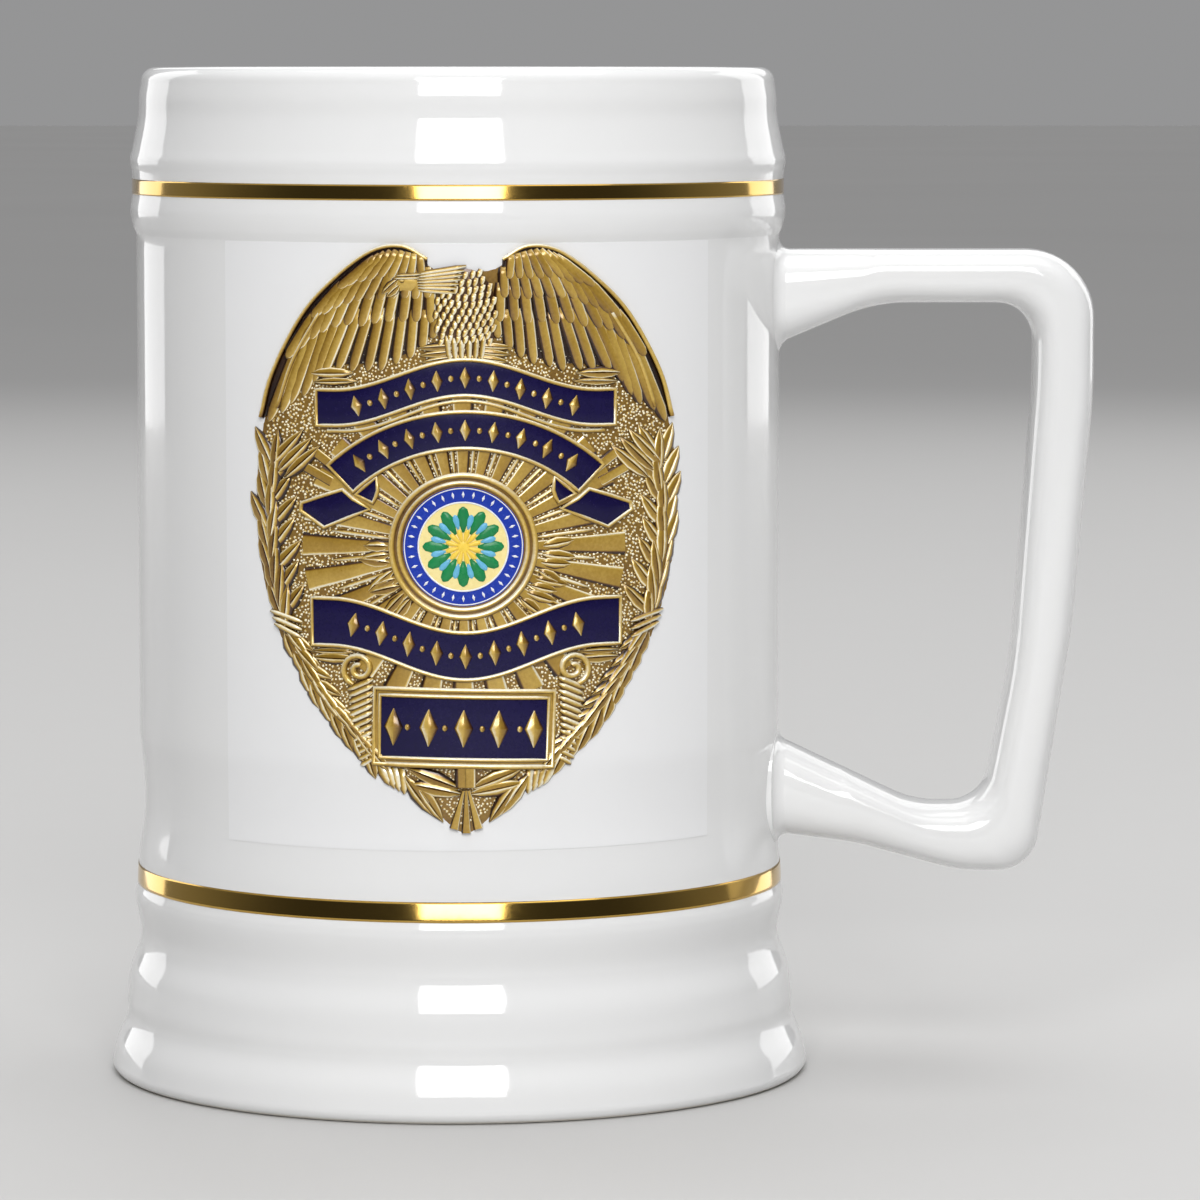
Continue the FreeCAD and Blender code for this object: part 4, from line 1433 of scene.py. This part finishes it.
# share of the length, lozenges, their height and width
patternLook = {
    "upper_ribbon": (0.72, 9, 2.9, 1.7), "middle_ribbon": (0.80, 9, 2.9, 1.7),
    "lower_ribbon": (0.72, 9, 3.4, 1.9), "plaque": (0.74, 5, 5.2, 2.7),
}
beadSize = 0.85
patterns = []
for i, (name, (share, lozenges, height, width)) in enumerate(patternLook.items()):
    rails, lift = enamelShapes[name][0], enamelShapes[name][1] - 0.02
    patterns.append(patternRow(name + "_lozenges", rails, share, "lozenge", lozenges, height, width,
                               180 + i, lift))
    inner = share * (lozenges - 2) / (lozenges - 1)
    patterns.append(patternRow(name + "_beads", rails, inner, "bead", lozenges - 1, beadSize, beadSize,
                               190 + i, lift))
ribbonPattern = joinPieces("ribbon_pattern", patterns)
print("pattern rows set")


# medallion: stepped gold ring, blue ring and a plain rosette

medallion = {"goldRadius": 10.1, "blueRadius": 8.35, "pictureRadius": 6.15, "heartRadius": 0.9,
             "petals": 12, "marks": 32, "guidePoints": 96}
halfPetal = 180 / medallion["petals"]
# inner and outer radius, count, width, turn, lift, fill, motif, relief
petalRings = {
    "rosette_green": (2.0, 5.6, medallion["petals"], 1.7, 0, 0.55, "green", "petal", 0.14),
    "rosette_sky": (2.4, 4.6, medallion["petals"], 1.0, halfPetal, 0.56, "sky", "petal", 0.14),
    "heart_petals": (0.5, 2.5, medallion["petals"], 0.75, halfPetal, 0.62, "lemon", "petal", 0.14),
    "marks": (6.8, 7.75, medallion["marks"], 0.42, 0, 0.48, "white", "lozenge", 0.1),
}
# radius, wire, lift, fill
ringWires = {
    "outer_step": (medallion["goldRadius"] - 0.15, 0.42, 0.42, printGold),
    "inner_step": (medallion["blueRadius"] + 0.55, 0.34, 0.46, printGold),
    "outer_line": (medallion["blueRadius"] - 0.2, 0.08, 0.5, enamels["white"]),
    "inner_line": (medallion["pictureRadius"] + 0.05, 0.12, 0.55, enamels["white"]),
}


def disc(name, radius, lift, thickness, material, tone=0.5, crown=0.0):
    line = circleLine(medallionPlace, radius, 72)
    return plate(name, discRows(line, medallionPlace, 7, lift, crown, 0.05), thickness, material, tone,
                 ringed=True)


def ringWire(name):
    radius, wire, lift, material = ringWires[name]
    return pipingPiece(name, circleLine(medallionPlace, radius, medallion["guidePoints"]), wire, lift,
                       closed=True, material=material)


def petalRing(name):
    inner, outer, count, width, turn, lift, fill, motif, relief = petalRings[name]
    near, far = (circleLine(medallionPlace, radius, medallion["guidePoints"], 90 + turn)
                 for radius in (inner, outer))
    return spanPiece(name, near, far, motif, count, width, relief, lift, seed=200, closed=True,
                     material=enamels[fill])


medallionGold = joinPieces("medallion_gold_ring", [
    disc("medallion_bed", medallion["goldRadius"], 0.42, 0.5, printGold, 0.3),
    ringWire("outer_step"), ringWire("inner_step")])
blueRing = disc("medallion_blue_ring", medallion["blueRadius"], 0.50, 0.3, enamels["blue"])
picture = disc("medallion_disc", medallion["pictureRadius"], 0.56, 0.3, enamels["cream"])
greenPetals = petalRing("rosette_green")
skyPetals = petalRing("rosette_sky")
lemonHeart = joinPieces("rosette_heart", [
    petalRing("heart_petals"),
    disc("heart", medallion["heartRadius"], 0.66, 0.2, enamels["lemon"], crown=0.12)])
whiteMarks = joinPieces("ring_marks", [petalRing("marks"), ringWire("outer_line"), ringWire("inner_line")])
print("medallion set")

for helper in helpers:
    bpy.data.objects.remove(helper)


# floor and lights

floorHalf = 12.0    # metres
corners = [(-1, -1), (1, -1), (1, 1), (-1, 1)]
floorMesh = bpy.data.meshes.new("floor")
floorMesh.from_pydata([(x * floorHalf, y * floorHalf, 0) for x, y in corners], [], [(0, 1, 2, 3)])
floorMesh.materials.append(paleFloor)
newObject("floor", floorMesh)

# softboxes: place in metres, width, height, brightness
softboxes = {
    "key": ((0.04, -1.10, 0.66), 0.62, 0.56, 9.8),
    "top": ((0.10, 0.05, 1.15), 1.10, 0.80, 1.7),
    "left": ((-0.95, 1.05, 0.45), 0.60, 1.10, 1.8),
    "right": ((1.00, 1.05, 0.45), 0.60, 1.10, 1.8),
    "back": ((0.20, 1.40, 0.80), 1.20, 0.80, 1.0),
}
aim = (cadBox[0] + cadBox[1]) / 2
for name, (place, width, height, brightness) in softboxes.items():
    lamp = bpy.data.lights.new(name + "_softbox", "AREA")
    lamp.shape = "RECTANGLE"
    lamp.size, lamp.size_y = width, height
    lamp.energy = brightness * math.pi * width * height
    holder = bpy.data.objects.new(name + "_softbox", lamp)
    scene.collection.objects.link(holder)
    holder.location = place
    holder.rotation_euler = (aim - Vector(place)).to_track_quat("-Z", "Y").to_euler()

# the sky is dim on the print's side, so that the gold there has something dark to mirror
skyLook = {"front": (0.05, 0.05, 0.052), "back": (0.30, 0.30, 0.303), "overhead": (0.78, 0.78, 0.785),
           "backSpan": (-0.60, 0.70), "overheadSpan": (0.45, 0.95)}
world = bpy.data.worlds.new("studio")
scene.world = world
world.use_nodes = True
sky = world.node_tree


def softShare(value, span):
    # 0 before the span and 1 after it
    return putNode(sky, "ShaderNodeMapRange", {"Value": value, "From Min": span[0], "From Max": span[1]},
                   interpolation_type="SMOOTHSTEP").outputs["Result"]


direction = partsOf(sky, putNode(sky, "ShaderNodeTexCoord").outputs["Generated"])
around = blendColours(sky, softShare(direction["Y"], skyLook["backSpan"]), skyLook["front"], skyLook["back"])
whole = blendColours(sky, softShare(direction["Z"], skyLook["overheadSpan"]), around, skyLook["overhead"])
sky.links.new(whole, sky.nodes["Background"].inputs["Color"])
scene.view_settings.view_transform = "Standard"
print("floor and lights set")


# piece, slot, the CAD node that it stands for
pieceFacts = [
    (steinBody, "white_glaze", "stein_body"),
    (steinHandle, "white_glaze", "handle"),
    (upperSlip, "white_glaze", "upper_handle_slip"),
    (lowerSlip, "white_glaze", "lower_handle_slip"),
    (goldBands["upper_gold_band"], "band_gold", "upper_gold_band"),
    (goldBands["lower_gold_band"], "band_gold", "lower_gold_band"),
    (transferFilm, "transfer_film", "transfer_film"),
    (badgeGround, "print_gold", "badge_gold_print"),
    (badgeGrain, "print_gold", None),
    (sunRays, "print_gold", None),
    (leftWing, "print_gold", None),
    (rightWing, "print_gold", None),
    (eagleRelief, "print_gold", None),
    (leftWreath, "print_gold", None),
    (rightWreath, "print_gold", None),
    (footScrolls, "print_gold", None),
    (goldBorders, "print_gold", None),
    (ribbonPattern, "print_gold", None),
    (enamelPlates["upper_ribbon"], "print_navy", "upper_ribbon_print"),
    (enamelPlates["middle_ribbon"], "print_navy", "middle_ribbon_print"),
    (enamelPlates["left_tail"], "print_navy", "left_ribbon_tail_print"),
    (enamelPlates["right_tail"], "print_navy", "right_ribbon_tail_print"),
    (enamelPlates["lower_ribbon"], "print_navy", "lower_ribbon_print"),
    (enamelPlates["plaque"], "print_navy", "plaque_print"),
    (medallionGold, "print_gold", None),
    (blueRing, "print_blue", "medallion_ring_print"),
    (picture, "print_picture", "medallion_picture_print"),
    (greenPetals, "print_picture", None),
    (skyPetals, "print_picture", None),
    (lemonHeart, "print_picture", None),
    (whiteMarks, "print_picture", None),
]
for piece, slotName, stoodFor in pieceFacts:
    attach(piece, "root")
    if stoodFor:
        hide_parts(stoodFor)

print("pieces:", len(pieceFacts))
